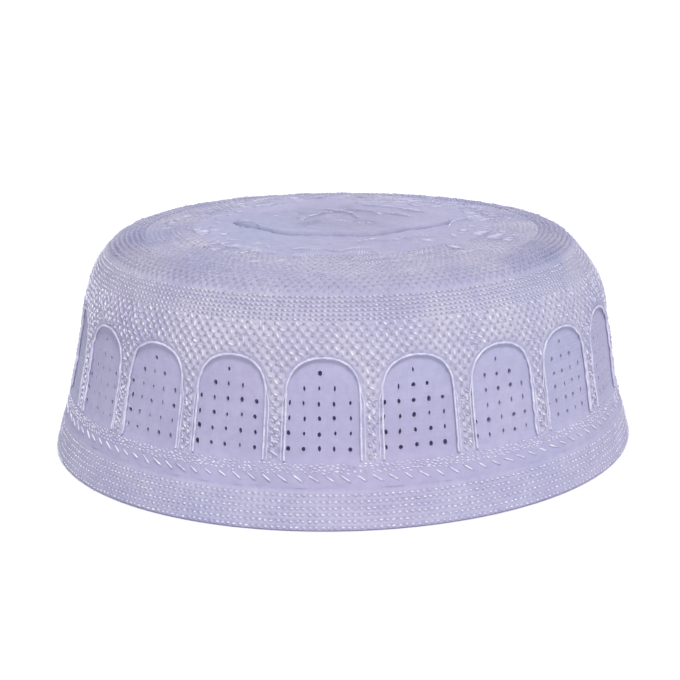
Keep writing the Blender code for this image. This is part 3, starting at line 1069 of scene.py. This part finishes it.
def hem_place(column, row):
    turn = 2.0 * math.pi * (column % HEM_COLUMNS) / HEM_COLUMNS
    radius, height, outside = HEM_POINTS[row % len(HEM_POINTS)]
    radius -= outside * ridge(height, HEM_FIRST_HEIGHT, HEM_STEP, HEM_COUNT, HEM_RIDGE)
    calm = smooth_step((HEM_TOP - height) / HEM_CALM_TOP)
    radius += outside * HEM_PUCKER * pucker_at(turn, height, HEM_PUCKER_SIZE) * calm
    return oval_point(turn, radius, height)


def hem_uv(column, row):
    height = HEM_POINTS[row % len(HEM_POINTS)][1]
    return column / HEM_COLUMNS, height


def hem_rowed_at(column, row):
    _, height, outside = HEM_POINTS[row % len(HEM_POINTS)]
    return HEM_ROWED * outside * in_rows(height, HEM_FIRST_HEIGHT, HEM_STEP, HEM_COUNT)


def make_hem():
    marks = {"rowed": hem_rowed_at}
    bm, _ = bent_grid(HEM_COLUMNS, len(HEM_POINTS), hem_place, hem_uv, marks)
    return closed_piece(bm, "hem_cloth", hem_material)


hem_cloth = make_hem()
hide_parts("hem_band")
print("hem faces", len(hem_cloth.data.polygons))

# %% [markdown]
# A satin cord outlines each arch, and a thinner line of thread runs beside each of its legs. A cord
# is a tube along a route. Here too a grid is bent: its columns go round the cord and its rows go
# along. A two-strand twist is pressed into the tube by a small change of radius, and the route
# wanders a little, because the cord is guided by hand.
# %% Cords
CORD_RADIUS = 0.00034
CORD_LIFT = 0.00026
CORD_SIDES = 8
CORD_WANDER = 0.00012
WANDER_SIZE = 0.0022
CORD_SHIFT = 0.0002
TWIST_LENGTH = 0.0011
TWIST_DEPTH = 0.16
CORD_POINT_STEP = 0.00035


def tube(points, outs, radius, sides, twist):
    """A closed tube through points, where outs says which way is up at each point."""
    last = len(points) - 1
    lengths = [0.0]
    for first, second in zip(points, points[1:]):
        lengths.append(lengths[-1] + (second - first).length)

    def place(column, row):
        index = min(max(row - 1, 0), last)
        ahead = (points[min(index + 1, last)] - points[max(index - 1, 0)]).normalized()
        up = (outs[index] - ahead * outs[index].dot(ahead)).normalized()
        side = ahead.cross(up)
        angle = 2.0 * math.pi * (column % sides) / sides
        size = 0.0 if row in (0, last + 2) else radius
        if twist:
            size *= 1.0 + TWIST_DEPTH * math.cos(2.0 * (angle + math.pi * lengths[index] / TWIST_LENGTH))
        return points[index] + (side * math.cos(angle) + up * math.sin(angle)) * size

    bm, _ = bent_grid(sides, last + 2, place)
    close_up(bm, MERGE_DISTANCE / 4)
    return bm


def outward(turn, along):
    """The direction straight out of the cloth."""
    _, _, (out_r, out_z) = profile_at(along)
    return Vector((out_r * math.cos(turn), out_r * math.sin(turn), out_z))


def finer(route, step):
    """More points along a route of (turn, height), evenly spaced."""
    lengths = [0.0]
    for (t0, h0), (t1, h1) in zip(route, route[1:]):
        lengths.append(lengths[-1] + math.hypot((t1 - t0) * wall_radius(h0), h1 - h0))
    count = max(2, round(lengths[-1] / step))
    result = []
    index = 0
    for number in range(count + 1):
        goal = lengths[-1] * number / count
        while index < len(route) - 2 and lengths[index + 1] < goal:
            index += 1
        share = (goal - lengths[index]) / (lengths[index + 1] - lengths[index])
        (t0, h0), (t1, h1) = route[index], route[index + 1]
        result.append((t0 + (t1 - t0) * share, h0 + (h1 - h0) * share))
    return result


def cord_along(route, middle, radius, lift, twist, step):
    points, outs = [], []
    for away, height in finer(route, step):
        along = along_height(height)
        turn = middle + away
        turn += CORD_WANDER * pucker_at(turn, along, WANDER_SIZE) / wall_radius(height)
        points.append(on_cap(turn, along, lift))
        outs.append(outward(turn, along))
    return tube(points, outs, radius, CORD_SIDES, twist)


def joined(parts):
    """Several bmeshes as one."""
    whole = bmesh.new()
    for part in parts:
        holder = mesh_from(part, "part")
        whole.from_mesh(holder)
        bpy.data.meshes.remove(holder)
    return whole


print("points on a cord", len(finer(arch_route(), CORD_POINT_STEP)))

# %% The thin line beside a cord
LINE_RADIUS = 0.00018
LINE_LIFT = -0.00002
LINE_AWAY = 0.0010
LINE_POINT_STEP = 0.0006
LINE_STEPS = 8
LINE_OVER = 0.003
LINE_CLOSES_FROM = 0.72
LINE_CLOSES_BY = 0.0011


def edge_line(side):
    """The thin second line outside a leg, from the arch's foot until it meets the head."""
    base = ARCH_HALF_TURN + LINE_AWAY / wall_radius(ARCH_FOOT_HEIGHT)
    route = []
    for step in range(LINE_STEPS + 1):
        share = step / LINE_STEPS
        height = ARCH_FOOT_HEIGHT + (ARCH_SPRING + LINE_OVER - ARCH_FOOT_HEIGHT) * share
        closed = smooth_step((share - LINE_CLOSES_FROM) / (1.0 - LINE_CLOSES_FROM)) * LINE_CLOSES_BY
        route.append((side * (base - closed / wall_radius(height)), height))
    return route


print("points on a line", len(finer(edge_line(1), LINE_POINT_STEP)))

# %% Twenty cords
cord_draw = random.Random(5)
for arch in range(ARCHES):
    middle = ARCH_FIRST_TURN + arch * ARCH_PITCH
    shift = cord_draw.uniform(-CORD_SHIFT, CORD_SHIFT) / FOOT_RADIUS
    route = [(away + shift, height) for away, height in arch_route()]
    strands = [cord_along(route, middle, CORD_RADIUS, CORD_LIFT, True, CORD_POINT_STEP)]
    for side in (-1, 1):
        line = edge_line(side)
        strands.append(cord_along(line, middle, LINE_RADIUS, LINE_LIFT, False, LINE_POINT_STEP))
    name = f"arch_cord_{arch + 1:02d}"
    cord = mesh_object(joined(strands), f"satin_{name}", cord_thread)
    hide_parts(name)
print("cords", ARCHES, "faces each", len(cord.data.polygons))

# %% [markdown]
# A stitch is a short grain of thread. Thousands of them would be slow to model one by one, so one
# grain is modelled, and a Geometry Nodes group sets a copy on every point of a cloud. The points
# carry the way each copy is turned and its size. The copies are made real before the cap is done.
# Few faces are enough for a grain: it is half a millimetre thick.
# %% One grain of thread
GRAIN_SIDES = 6
GRAIN_RINGS = 3


def grain_mesh():
    bm = bmesh.new()
    bmesh.ops.create_uvsphere(bm, u_segments=GRAIN_SIDES, v_segments=GRAIN_RINGS, radius=0.5)
    bmesh.ops.rotate(bm, cent=(0, 0, 0), matrix=Matrix.Rotation(math.pi / 2, 3, "Y"), verts=bm.verts)
    mesh = mesh_from(bm, "grain")
    mesh.shade_smooth()
    return mesh


grain = grain_mesh()
print("grain faces", len(grain.polygons))

# %% Copies of a stamp on points


def sewing_nodes(stamp):
    """A node group that sets a copy of the stamp on each point, turned and sized as the point says."""
    group = bpy.data.node_groups.new("sewing", "GeometryNodeTree")
    group.interface.new_socket("Geometry", in_out="INPUT", socket_type="NodeSocketGeometry")
    group.interface.new_socket("Geometry", in_out="OUTPUT", socket_type="NodeSocketGeometry")
    start = group.nodes.new("NodeGroupInput")
    end = group.nodes.new("NodeGroupOutput")
    source = group.nodes.new("GeometryNodeObjectInfo")
    source.inputs["Object"].default_value = stamp
    place = group.nodes.new("GeometryNodeInstanceOnPoints")
    real = group.nodes.new("GeometryNodeRealizeInstances")
    for attribute, slot in (("turned", "Rotation"), ("size", "Scale")):
        named = group.nodes.new("GeometryNodeInputNamedAttribute")
        named.data_type = "FLOAT_VECTOR"
        named.inputs["Name"].default_value = attribute
        group.links.new(named.outputs["Attribute"], place.inputs[slot])
    group.links.new(start.outputs[0], place.inputs["Points"])
    group.links.new(source.outputs["Geometry"], place.inputs["Instance"])
    group.links.new(place.outputs[0], real.inputs[0])
    group.links.new(real.outputs[0], end.inputs[0])
    return group


def sew(name, stitches, stamp_mesh, material):
    """stitches is a list of (place, direction, out, size); size is length, width and height."""
    cloud = bpy.data.meshes.new(name + "_points")
    cloud.vertices.add(len(stitches))
    places, turned, sizes = [], [], []
    for place, direction, out, size in stitches:
        direction = (direction - out * direction.dot(out)).normalized()
        axes = Matrix((direction, out.cross(direction), out)).transposed()
        places.extend(place)
        turned.extend(axes.to_euler())
        sizes.extend(size)
    cloud.vertices.foreach_set("co", places)
    cloud.attributes.new("turned", "FLOAT_VECTOR", "POINT").data.foreach_set("vector", turned)
    cloud.attributes.new("size", "FLOAT_VECTOR", "POINT").data.foreach_set("vector", sizes)
    holder = object_from(cloud, name + "_points")
    stamp = object_from(stamp_mesh, name + "_stamp")
    holder.modifiers.new("sewing", "NODES").node_group = sewing_nodes(stamp)
    bpy.context.view_layer.update()
    ready = holder.evaluated_get(bpy.context.evaluated_depsgraph_get())
    mesh = bpy.data.meshes.new_from_object(ready)
    mesh.name = name
    for item in (holder, stamp):
        bpy.data.objects.remove(item, do_unlink=True)
    mesh.materials.clear()
    mesh.materials.append(material)
    mesh.shade_smooth()
    piece = object_from(mesh, name)
    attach(piece, "root")
    print(name, len(stitches), "stitches", len(mesh.polygons), "faces")
    return piece


# %% Where a stitch lies, and rows of them
thread_draw = random.Random(21)
DOT_STRAY = 0.12
DOT_LENGTHS = (0.75, 1.2)
DOT_SLANT = 0.2
DOT_LIFT = 0.0001
DOT_WANDER = 0.00012


def stitch_at(turn, along, slant, size, lift=0.0):
    """One stitch on the cloth: slant 0 runs round the cap, 90 degrees runs up it."""
    out = outward(turn, along)
    around = Vector((-math.sin(turn), math.cos(turn), 0.0))
    up = out.cross(around)
    direction = around * math.cos(slant) - up * math.sin(slant)
    return on_cap(turn, along, lift), direction, out, size


def drawn_slant(degrees):
    """A slant in radians, drawn from a pair of limits in degrees."""
    return math.radians(thread_draw.uniform(*degrees))


def row_of_dots(along, count, size, slant=0.0, lift=DOT_LIFT, wander=DOT_WANDER):
    """A ring of dots of thread, in step with the hollows that the cloth's material draws."""
    length, width, height = size
    dots = []
    for number in range(count):
        turn = 2.0 * math.pi * (number + thread_draw.uniform(-DOT_STRAY, DOT_STRAY)) / count
        drawn = length * thread_draw.uniform(*DOT_LENGTHS)
        stray = thread_draw.uniform(-wander, wander)
        lean = slant + thread_draw.uniform(-DOT_SLANT, DOT_SLANT)
        dots.append(stitch_at(turn, along + stray, lean, (drawn, width, height), lift))
    return dots


print("dots in a row", ROW_DOTS, "at the hem and", RING_DOTS, "at the crown")

# %% [markdown]
# Between the arches and above them the cloth is quilted with short slanting stitches on a diagonal
# lattice: every second row is set off by half a step. A lattice point is kept where it lies outside
# every arch and clear of the cords. Thinner stitches are scattered over it, because close sewing by
# hand hides its own lattice. The narrow strips between two arches carry a zigzag instead.
# %% The quilted field
NET_CLEAR = 0.0017
NET_STRAY_UP = 0.0002
NET_STRAY = 0.08
NET_SLANTS = (15.0, 85.0)
NET_LENGTHS = (0.0010, 0.0021)
NET_WIDTHS = (0.00038, 0.0007)
NET_HEIGHT = 0.00055
NET_LIFT = 0.00014


def net_field():
    stitches = []
    rows = int((along_height(NET_TOP) - NET_START) / NET_STEP) + 1
    for row in range(rows):
        for number in range(NET_COUNT):
            along = NET_START + row * NET_STEP + thread_draw.uniform(-NET_STRAY_UP, NET_STRAY_UP)
            place = number + 0.5 * (row % 2) + thread_draw.uniform(-NET_STRAY, NET_STRAY)
            turn = 2.0 * math.pi * place / NET_COUNT
            slant = drawn_slant(NET_SLANTS)
            size = (thread_draw.uniform(*NET_LENGTHS), thread_draw.uniform(*NET_WIDTHS), NET_HEIGHT)
            if outside_arches(turn, profile_at(along)[1]) > NET_CLEAR:
                stitches.append(stitch_at(turn, along, slant, size, NET_LIFT))
    return stitches


net_stitches = sew("net_stitches", net_field(), grain, pale_thread)

# %% Filling between the net's stitches
FILLING_COUNT = 7000
FILLING_CLEAR = 0.0012
FILLING_SLANTS = (0.0, 110.0)
FILLING_LENGTHS = (0.0006, 0.0013)
FILLING_WIDTH = 0.00030
FILLING_HEIGHT = 0.00045
FILLING_LIFT = 0.00008


def net_filling():
    """Thin short stitches scattered over the field, which break up the lattice."""
    stitches = []
    reach = along_height(NET_TOP) - NET_START
    for _ in range(FILLING_COUNT):
        along = NET_START + reach * thread_draw.random()
        turn = 2.0 * math.pi * thread_draw.random()
        slant = drawn_slant(FILLING_SLANTS)
        size = (thread_draw.uniform(*FILLING_LENGTHS), FILLING_WIDTH, FILLING_HEIGHT)
        if outside_arches(turn, profile_at(along)[1]) > FILLING_CLEAR:
            stitches.append(stitch_at(turn, along, slant, size, FILLING_LIFT))
    return stitches


filling_stitches = sew("filling_stitches", net_filling(), grain, cord_thread)

# %% Zigzags between the arches
ZIGZAG_STEP = 0.0017
ZIGZAG_START = 0.0008
ZIGZAG_HALF_WIDTH = 0.0007
ZIGZAG_SLANTS = (25.0, 80.0)
ZIGZAG_LENGTHS = (0.0009, 0.0014)
ZIGZAG_WIDTH = 0.00055
ZIGZAG_HEIGHT = 0.0006
ZIGZAG_LIFT = 0.0002


def zigzags():
    """Two columns of slanting stitches between each pair of arches, up to where the arches part."""
    stitches = []
    rows = int((ARCH_SPRING - ARCH_FOOT_HEIGHT) / ZIGZAG_STEP)
    for arch in range(ARCHES):
        middle = ARCH_FIRST_TURN + (arch + 0.5) * ARCH_PITCH
        for row in range(rows):
            height = ARCH_FOOT_HEIGHT + ZIGZAG_START + row * ZIGZAG_STEP
            for side in (-1, 1):
                turn = middle + side * ZIGZAG_HALF_WIDTH / wall_radius(height)
                slant = drawn_slant(ZIGZAG_SLANTS)
                size = (thread_draw.uniform(*ZIGZAG_LENGTHS), ZIGZAG_WIDTH, ZIGZAG_HEIGHT)
                along = along_height(height + 0.5 * ZIGZAG_STEP * (side > 0))
                stitches.append(stitch_at(turn, along, slant, size, ZIGZAG_LIFT))
    return stitches


zigzag_stitches = sew("zigzag_stitches", zigzags(), grain, cord_thread)

# %% [markdown]
# Rows of running stitch hold the hem, the foot of the arches and the shoulder. A row is a ring of
# dots of thread. The heavier line over the hem is a row of long slanting stitches, like a rope. The
# rows at the foot of the arches lie close and have unequal counts, so that their dots don't line up.
# %% Rows of running stitch
HEM_DOT = (0.0010, 0.00052, 0.00042)
FOOT_DOT = (0.0010, 0.00040, 0.00036)
FOOT_SLANT = 0.3
FOOT_WANDER = 0.00035
FOOT_ROW_HEIGHTS = [0.0161, 0.0168, 0.0175, 0.0182]
FOOT_ROW_EXTRA = 17
SHOULDER_DOT = (0.0010, 0.00042, 0.00032)
SHOULDER_SLANT = 0.5


def hem_rows():
    stitches = []
    for row in range(HEM_COUNT):
        height = HEM_FIRST_HEIGHT + row * HEM_STEP
        along = along_height(height)
        proud = hem_outer(height) - wall_radius(height)
        stitches += row_of_dots(along, ROW_DOTS, HEM_DOT, lift=proud)
    for number, height in enumerate(FOOT_ROW_HEIGHTS):
        along, count = along_height(height), ROW_DOTS + FOOT_ROW_EXTRA * number
        stitches += row_of_dots(along, count, FOOT_DOT, FOOT_SLANT, wander=FOOT_WANDER)
    return stitches


def shoulder_rows():
    stitches = []
    for row in range(SHOULDER_COUNT):
        along = SHOULDER_START - row * SHOULDER_STEP
        stitches += row_of_dots(along, RING_DOTS, SHOULDER_DOT, SHOULDER_SLANT)
    return stitches


hem_stitches = sew("hem_stitches", hem_rows(), grain, pale_thread)
shoulder_stitches = sew("shoulder_stitches", shoulder_rows(), grain, pale_thread)

# %% The rope line
ROPE_HEIGHT = 0.0145
ROPE_SPACING = 0.0044
ROPE_SLANTS = (24.0, 38.0)
ROPE_LENGTHS = (0.0036, 0.0048)
ROPE_WIDTH = 0.00055
ROPE_THICKNESS = 0.0006
ROPE_LIFT = 0.00014


def rope():
    stitches = []
    along = along_height(ROPE_HEIGHT)
    count = round(2.0 * math.pi * wall_radius(ROPE_HEIGHT) / ROPE_SPACING)
    for number in range(count):
        turn = 2.0 * math.pi * number / count
        slant = drawn_slant(ROPE_SLANTS)
        size = (thread_draw.uniform(*ROPE_LENGTHS), ROPE_WIDTH, ROPE_THICKNESS)
        stitches.append(stitch_at(turn, along, slant, size, ROPE_LIFT))
    return stitches


rope_stitches = sew("rope_stitches", rope(), grain, pale_thread)

# %% [markdown]
# The crown is embroidered tone on tone. Fans of long stitches spread out round the medallion, fine
# slanting stitches fill the cloth between the fans and the shoulder, and rows of dots ride on the
# ridges. Hand-guided stitching comes out heavier in one place than in another, so noise decides how
# long each stitch is and leaves some out, and the fans are thinner at the cap's left and right.
# %% Embroidery of the crown
FAN_COUNT = 14
FAN_INNER = 0.0405
FAN_STITCHES = 24
FAN_WIDTH_SHARE = 0.94
FAN_SPREAD = math.radians(42.0)
FAN_STRAY = 0.08
FAN_STEPS = [
    # distance out from the fan's inner edge, more of it at the fan's sides, length
    (0.0, 0.0026, 0.0034),
    (0.0060, 0.0, 0.0058),
    (0.0115, 0.0, 0.0058),
    (0.0160, 0.0, 0.0040),
]
FAN_LENGTHS = (0.6, 1.15)
FAN_WIDTH = 0.00030
FAN_HEIGHT = 0.00036
FAN_LIFT = 0.00008
FAN_SPARSE_FROM = 0.55
FAN_SPARSE_SHARE = 0.6
FAN_PATCH_SIZE = 0.012
FAN_PATCH_LEVEL = -0.12


def fans():
    stitches = []
    half_turn = math.pi / FAN_COUNT
    for fan in range(FAN_COUNT):
        middle = 2.0 * math.pi * (fan + 0.5) / FAN_COUNT
        for number in range(FAN_STITCHES):
            share = 2.0 * (number + 0.5) / FAN_STITCHES - 1.0
            turn = middle + share * half_turn * FAN_WIDTH_SHARE
            slant = math.pi / 2 - share * FAN_SPREAD + thread_draw.uniform(-FAN_STRAY, FAN_STRAY)
            for step, bow, length in FAN_STEPS:
                along = along_radius(FAN_INNER + step + bow * share ** 2)
                size = (length * thread_draw.uniform(*FAN_LENGTHS), FAN_WIDTH, FAN_HEIGHT)
                sparse = sideways(turn) > FAN_SPARSE_FROM and thread_draw.random() < FAN_SPARSE_SHARE
                patch = noise.noise(on_cap(turn, along) / FAN_PATCH_SIZE)
                if patch > FAN_PATCH_LEVEL and not sparse:
                    stitches.append(stitch_at(turn, along, slant, size, FAN_LIFT))
    return stitches


fan_stitches = sew("fan_stitches", fans(), grain, cord_thread)

# %% Hatching and the dots on the ridges
HATCH_STEP = 0.0013
HATCH_SPACING = 0.0015
HATCH_STRAY = 0.15
HATCH_STRAY_UP = 0.0003
HATCH_PATCH_SIZE = 0.014
HATCH_MEAN = 0.6
HATCH_VARIES = 0.9
HATCH_LEAST = 0.20
HATCH_FULL_FROM = 0.3
HATCH_FRONT = 1.3
HATCH_SLANTS = (-85.0, -15.0)
HATCH_LENGTHS = (0.0008, 0.0017)
HATCH_THICKNESS = 0.00034
HATCH_LIFT = 0.00006
RING_DOT = (0.0010, 0.00040, 0.0004)
RING_SLANT = -0.7
RING_PATCH_SIZE = 0.02
RING_PATCH_LEVEL = -0.05


def hatching():
    stitches = []
    start, end = along_radius(HATCH_OUTER), along_radius(HATCH_INNER)
    for row in range(int((end - start) / HATCH_STEP) + 1):
        along = start + row * HATCH_STEP
        radius = profile_at(along)[0]
        count = round(2.0 * math.pi * radius / HATCH_SPACING)
        for number in range(count):
            place = number + 0.5 * (row % 2) + thread_draw.uniform(-HATCH_STRAY, HATCH_STRAY)
            turn = 2.0 * math.pi * place / count
            weight = HATCH_MEAN + HATCH_VARIES * pucker_at(turn, along, HATCH_PATCH_SIZE)
            if radius > RING_FIRST - RING_STEP:
                weight *= HATCH_FRONT - sideways(turn)
            slant = drawn_slant(HATCH_SLANTS)
            length = thread_draw.uniform(*HATCH_LENGTHS) * min(1.0, weight + HATCH_FULL_FROM)
            if weight > HATCH_LEAST:
                size = (length, HATCH_THICKNESS, HATCH_THICKNESS)
                stray = thread_draw.uniform(-HATCH_STRAY_UP, HATCH_STRAY_UP)
                stitches.append(stitch_at(turn, along + stray, slant, size, HATCH_LIFT))
    return stitches


def ring_rows():
    stitches = []
    for row in range(RING_COUNT):
        for dot in row_of_dots(RING_START - row * RING_STEP, RING_DOTS, RING_DOT, RING_SLANT):
            if noise.noise(dot[0] / RING_PATCH_SIZE) > RING_PATCH_LEVEL:
                stitches.append(dot)
    return stitches


hatch_stitches = sew("hatch_stitches", hatching(), grain, soft_thread)
ring_stitches = sew("ring_stitches", ring_rows(), grain, soft_thread)

# %% Pale thread on every crease's crest, laid as a painted highlight
CREST_SPACING = 0.0011
CREST_PLACES = (0.2, 0.8)
CREST_LENGTHS = (0.8, 1.5)
CREST_WIDTH = 0.00034
CREST_HEIGHT = 0.00040
CREST_LIFT = 0.00010
CREST_SHARE = 0.75


def crease_highlight_threads():
    """A fine broken line of pale thread along the crest of every crease, laid as a painted highlight."""
    stitches = []
    for right0, back0, right1, back1, _ in CREASES:
        run = (right1 - right0, back1 - back0)
        length = math.hypot(*run)
        count = max(2, round(length * CROWN_EDGE_RADIUS / CREST_SPACING))
        for number in range(count):
            share = (number + thread_draw.uniform(*CREST_PLACES)) / count
            bow = CREASE_BOW * length * math.sin(math.pi * share)
            right = right0 + run[0] * share - bow * run[1] / length
            back = back0 + run[1] * share + bow * run[0] / length
            along = along_radius(math.hypot(right, back) * CROWN_EDGE_RADIUS)
            turn = MEDALLION_TURN + math.atan2(back, right)
            slant = turn + math.pi / 2 - MEDALLION_TURN - math.atan2(run[1], run[0])
            size = (CREST_SPACING * thread_draw.uniform(*CREST_LENGTHS), CREST_WIDTH, CREST_HEIGHT)
            if thread_draw.random() < CREST_SHARE:
                stitches.append(stitch_at(turn, along, slant, size, CREST_LIFT))
    return stitches


crease_stitches = sew("crease_stitches", crease_highlight_threads(), grain, pale_thread)

# %% Stitches over the medallion's seam
EDGE_STITCHES = 90
EDGE_REACH = 0.0020
EDGE_POINTEDNESS = 6
EDGE_LENGTH = 0.0007
EDGE_POINT_LENGTH = 0.0016
EDGE_SLANT = 35.0
EDGE_POINT_SLANT = 60.0
EDGE_SLANT_STRAY = 15.0
EDGE_WIDTH = 0.00030
EDGE_HEIGHT = 0.00035


def medallion_fringe():
    """Short stitches that cross the medallion's seam, longest at its two points."""
    stitches = []
    for number in range(EDGE_STITCHES):
        turn = 2.0 * math.pi * number / EDGE_STITCHES
        point = abs(math.cos(turn - MEDALLION_TURN)) ** EDGE_POINTEDNESS
        along = along_radius(medallion_edge(turn) + thread_draw.uniform(0.0, EDGE_REACH))
        stray = thread_draw.uniform(-EDGE_SLANT_STRAY, EDGE_SLANT_STRAY)
        slant = math.radians(EDGE_SLANT + EDGE_POINT_SLANT * point + stray)
        size = (EDGE_LENGTH + EDGE_POINT_LENGTH * point, EDGE_WIDTH, EDGE_HEIGHT)
        stitches.append(stitch_at(turn, along, slant, size))
    return stitches


medallion_stitches = sew("medallion_stitches", medallion_fringe(), grain, soft_thread)

# %% [markdown]
# Each eyelet is bound with thread, which shows as a soft rim round the hole. One ring is modelled,
# by bending a grid both ways, and stamped over every hole at the hole's own width, height and lean.
# %% Bound eyelets
BINDING_AROUND = 12
BINDING_SIDES = 4
BINDING_THREAD = 0.15
BINDING_MERGE = 0.0001


def eyelet_ring():
    """A ring of radius 1 whose thread is a share of that radius."""
    def place(column, row):
        angle = 2.0 * math.pi * (column % BINDING_AROUND) / BINDING_AROUND
        turn = 2.0 * math.pi * (row % BINDING_SIDES) / BINDING_SIDES
        radius = 1.0 + BINDING_THREAD * (1.0 + math.cos(turn))
        return Vector((radius * math.cos(angle), radius * math.sin(angle), BINDING_THREAD * math.sin(turn)))

    bm, _ = bent_grid(BINDING_AROUND, BINDING_SIDES, place)
    close_up(bm, BINDING_MERGE)
    mesh = mesh_from(bm, "eyelet_ring")
    mesh.shade_smooth()
    return mesh


bindings = []
for turn, height, half_width, half_height, lean in eyelets:
    size = (half_width, half_height, half_width)
    bindings.append(stitch_at(turn, along_height(height), -lean, size))
eyelet_bindings = sew("eyelet_bindings", bindings, eyelet_ring(), soft_thread)

# %% [markdown]
# The photograph was taken from a little above, close enough for the near side to look larger.
# The camera stands at that distance and height, and its lens gives the same size in the frame.
# Three broad suns light it softly, from in front, from low down and from behind. The floor glows a
# little, as a studio's white sweep throws light back, and it is wide enough to have no edge in view.
# %% Where the camera stands
CAMERA_DISTANCE = 0.506
CAMERA_AZIMUTH = 66.0
CAMERA_ELEVATION = 15.45
CAMERA_ROLL = -0.35
FOCAL_PIXELS = 1522.0
FRAME_PIXELS = 680.0
AIM_HEIGHT = 0.0345
AIM_PIXEL = (344.9, 327.3)
SENSOR = 36.0
CLIP_START = 0.01


def direction_from(azimuth, elevation):
    """Where something stands that is seen at so many degrees round and up."""
    azimuth, elevation = math.radians(azimuth), math.radians(elevation)
    level = math.cos(elevation)
    return Vector((math.sin(azimuth) * level, -math.cos(azimuth) * level, math.sin(elevation)))


print("camera", CAMERA_DISTANCE, "from the middle of the cap")

# %% A glowing floor
FLOOR_HALF = 60.0
FLOOR_COLOUR = (0.90, 0.90, 0.89, 1.0)
FLOOR_GLOW_COLOUR = (0.55, 0.45, 1.0, 1.0)
FLOOR_GLOW = 0.07


def add_floor():
    bm = bmesh.new()
    bmesh.ops.create_grid(bm, x_segments=1, y_segments=1, size=FLOOR_HALF)
    floor = object_from(mesh_from(bm, "floor"), "floor")
    recipe = Recipe("pale_floor", roughness=1.0)
    recipe.set_sockets({
        "Base Color": FLOOR_COLOUR,
        "Specular IOR Level": 0.0,
        "Emission Color": FLOOR_GLOW_COLOUR,
        "Emission Strength": FLOOR_GLOW,
    })
    floor.data.materials.append(recipe.material)


add_floor()

# %% Soft light
SUNS = [
    # name, degrees round from the camera, elevation, softness, strength
    ("key", 17.0, 60.0, 18.0, 2.5),
    ("fill", 6.0, 8.0, 40.0, 0.62),
    ("rim", 180.0, 22.0, 10.0, 1.5),
]
WORLD_COLOUR = (1.0, 1.0, 0.99, 1.0)
WORLD_STRENGTH = 0.38


def add_sun(name, azimuth, elevation, softness, strength):
    data = bpy.data.lights.new(name, "SUN")
    data.angle = math.radians(softness)
    data.energy = strength
    towards = direction_from(azimuth, elevation)
    object_from(data, name).rotation_euler = towards.to_track_quat("Z", "Y").to_euler()


def add_camera():
    data = bpy.data.cameras.new("camera")
    data.sensor_width = SENSOR
    data.lens = FOCAL_PIXELS * SENSOR / FRAME_PIXELS
    data.shift_x = -(AIM_PIXEL[0] - FRAME_PIXELS / 2) / FRAME_PIXELS
    data.shift_y = (AIM_PIXEL[1] - FRAME_PIXELS / 2) / FRAME_PIXELS
    data.clip_start = CLIP_START
    camera = object_from(data, "camera")
    back = direction_from(CAMERA_AZIMUTH, CAMERA_ELEVATION)
    camera.location = Vector((0.0, 0.0, AIM_HEIGHT)) + back * CAMERA_DISTANCE
    turn = back.to_track_quat("Z", "Y").to_matrix()
    roll = Matrix.Rotation(math.radians(CAMERA_ROLL), 3, "Z")
    camera.rotation_euler = (turn @ roll).to_euler()
    bpy.context.scene.camera = camera


def light_world():
    world = bpy.data.worlds.new("studio")
    world.use_nodes = True
    background = world.node_tree.nodes["Background"]
    background.inputs["Color"].default_value = WORLD_COLOUR
    background.inputs["Strength"].default_value = WORLD_STRENGTH
    bpy.context.scene.world = world


for name, away, elevation, softness, strength in SUNS:
    add_sun(name, CAMERA_AZIMUTH + away, elevation, softness, strength)
light_world()
bpy.context.scene.view_settings.view_transform = "Standard"
add_camera()
print("suns", len(SUNS), "camera at", tuple(bpy.context.scene.camera.location))

# %% [markdown]
# The crown and the band were cut flat before they were sewn, so the size of their cut is worked out
# here. The band is as long as the cap is round half way up its wall.
MIDDLE_HEIGHT = 0.036
around = 2.0 * math.pi * wall_radius(MIDDLE_HEIGHT)
band_length = band_along(BAND_ROWS) - band_along(0)
crown_reach = 2.0 * (FULL_LENGTH - SEAM_ALONG)
math.pi / 4 * crown_reach ** 2
print("cloth", band_length, around, "and a round of", crown_reach)
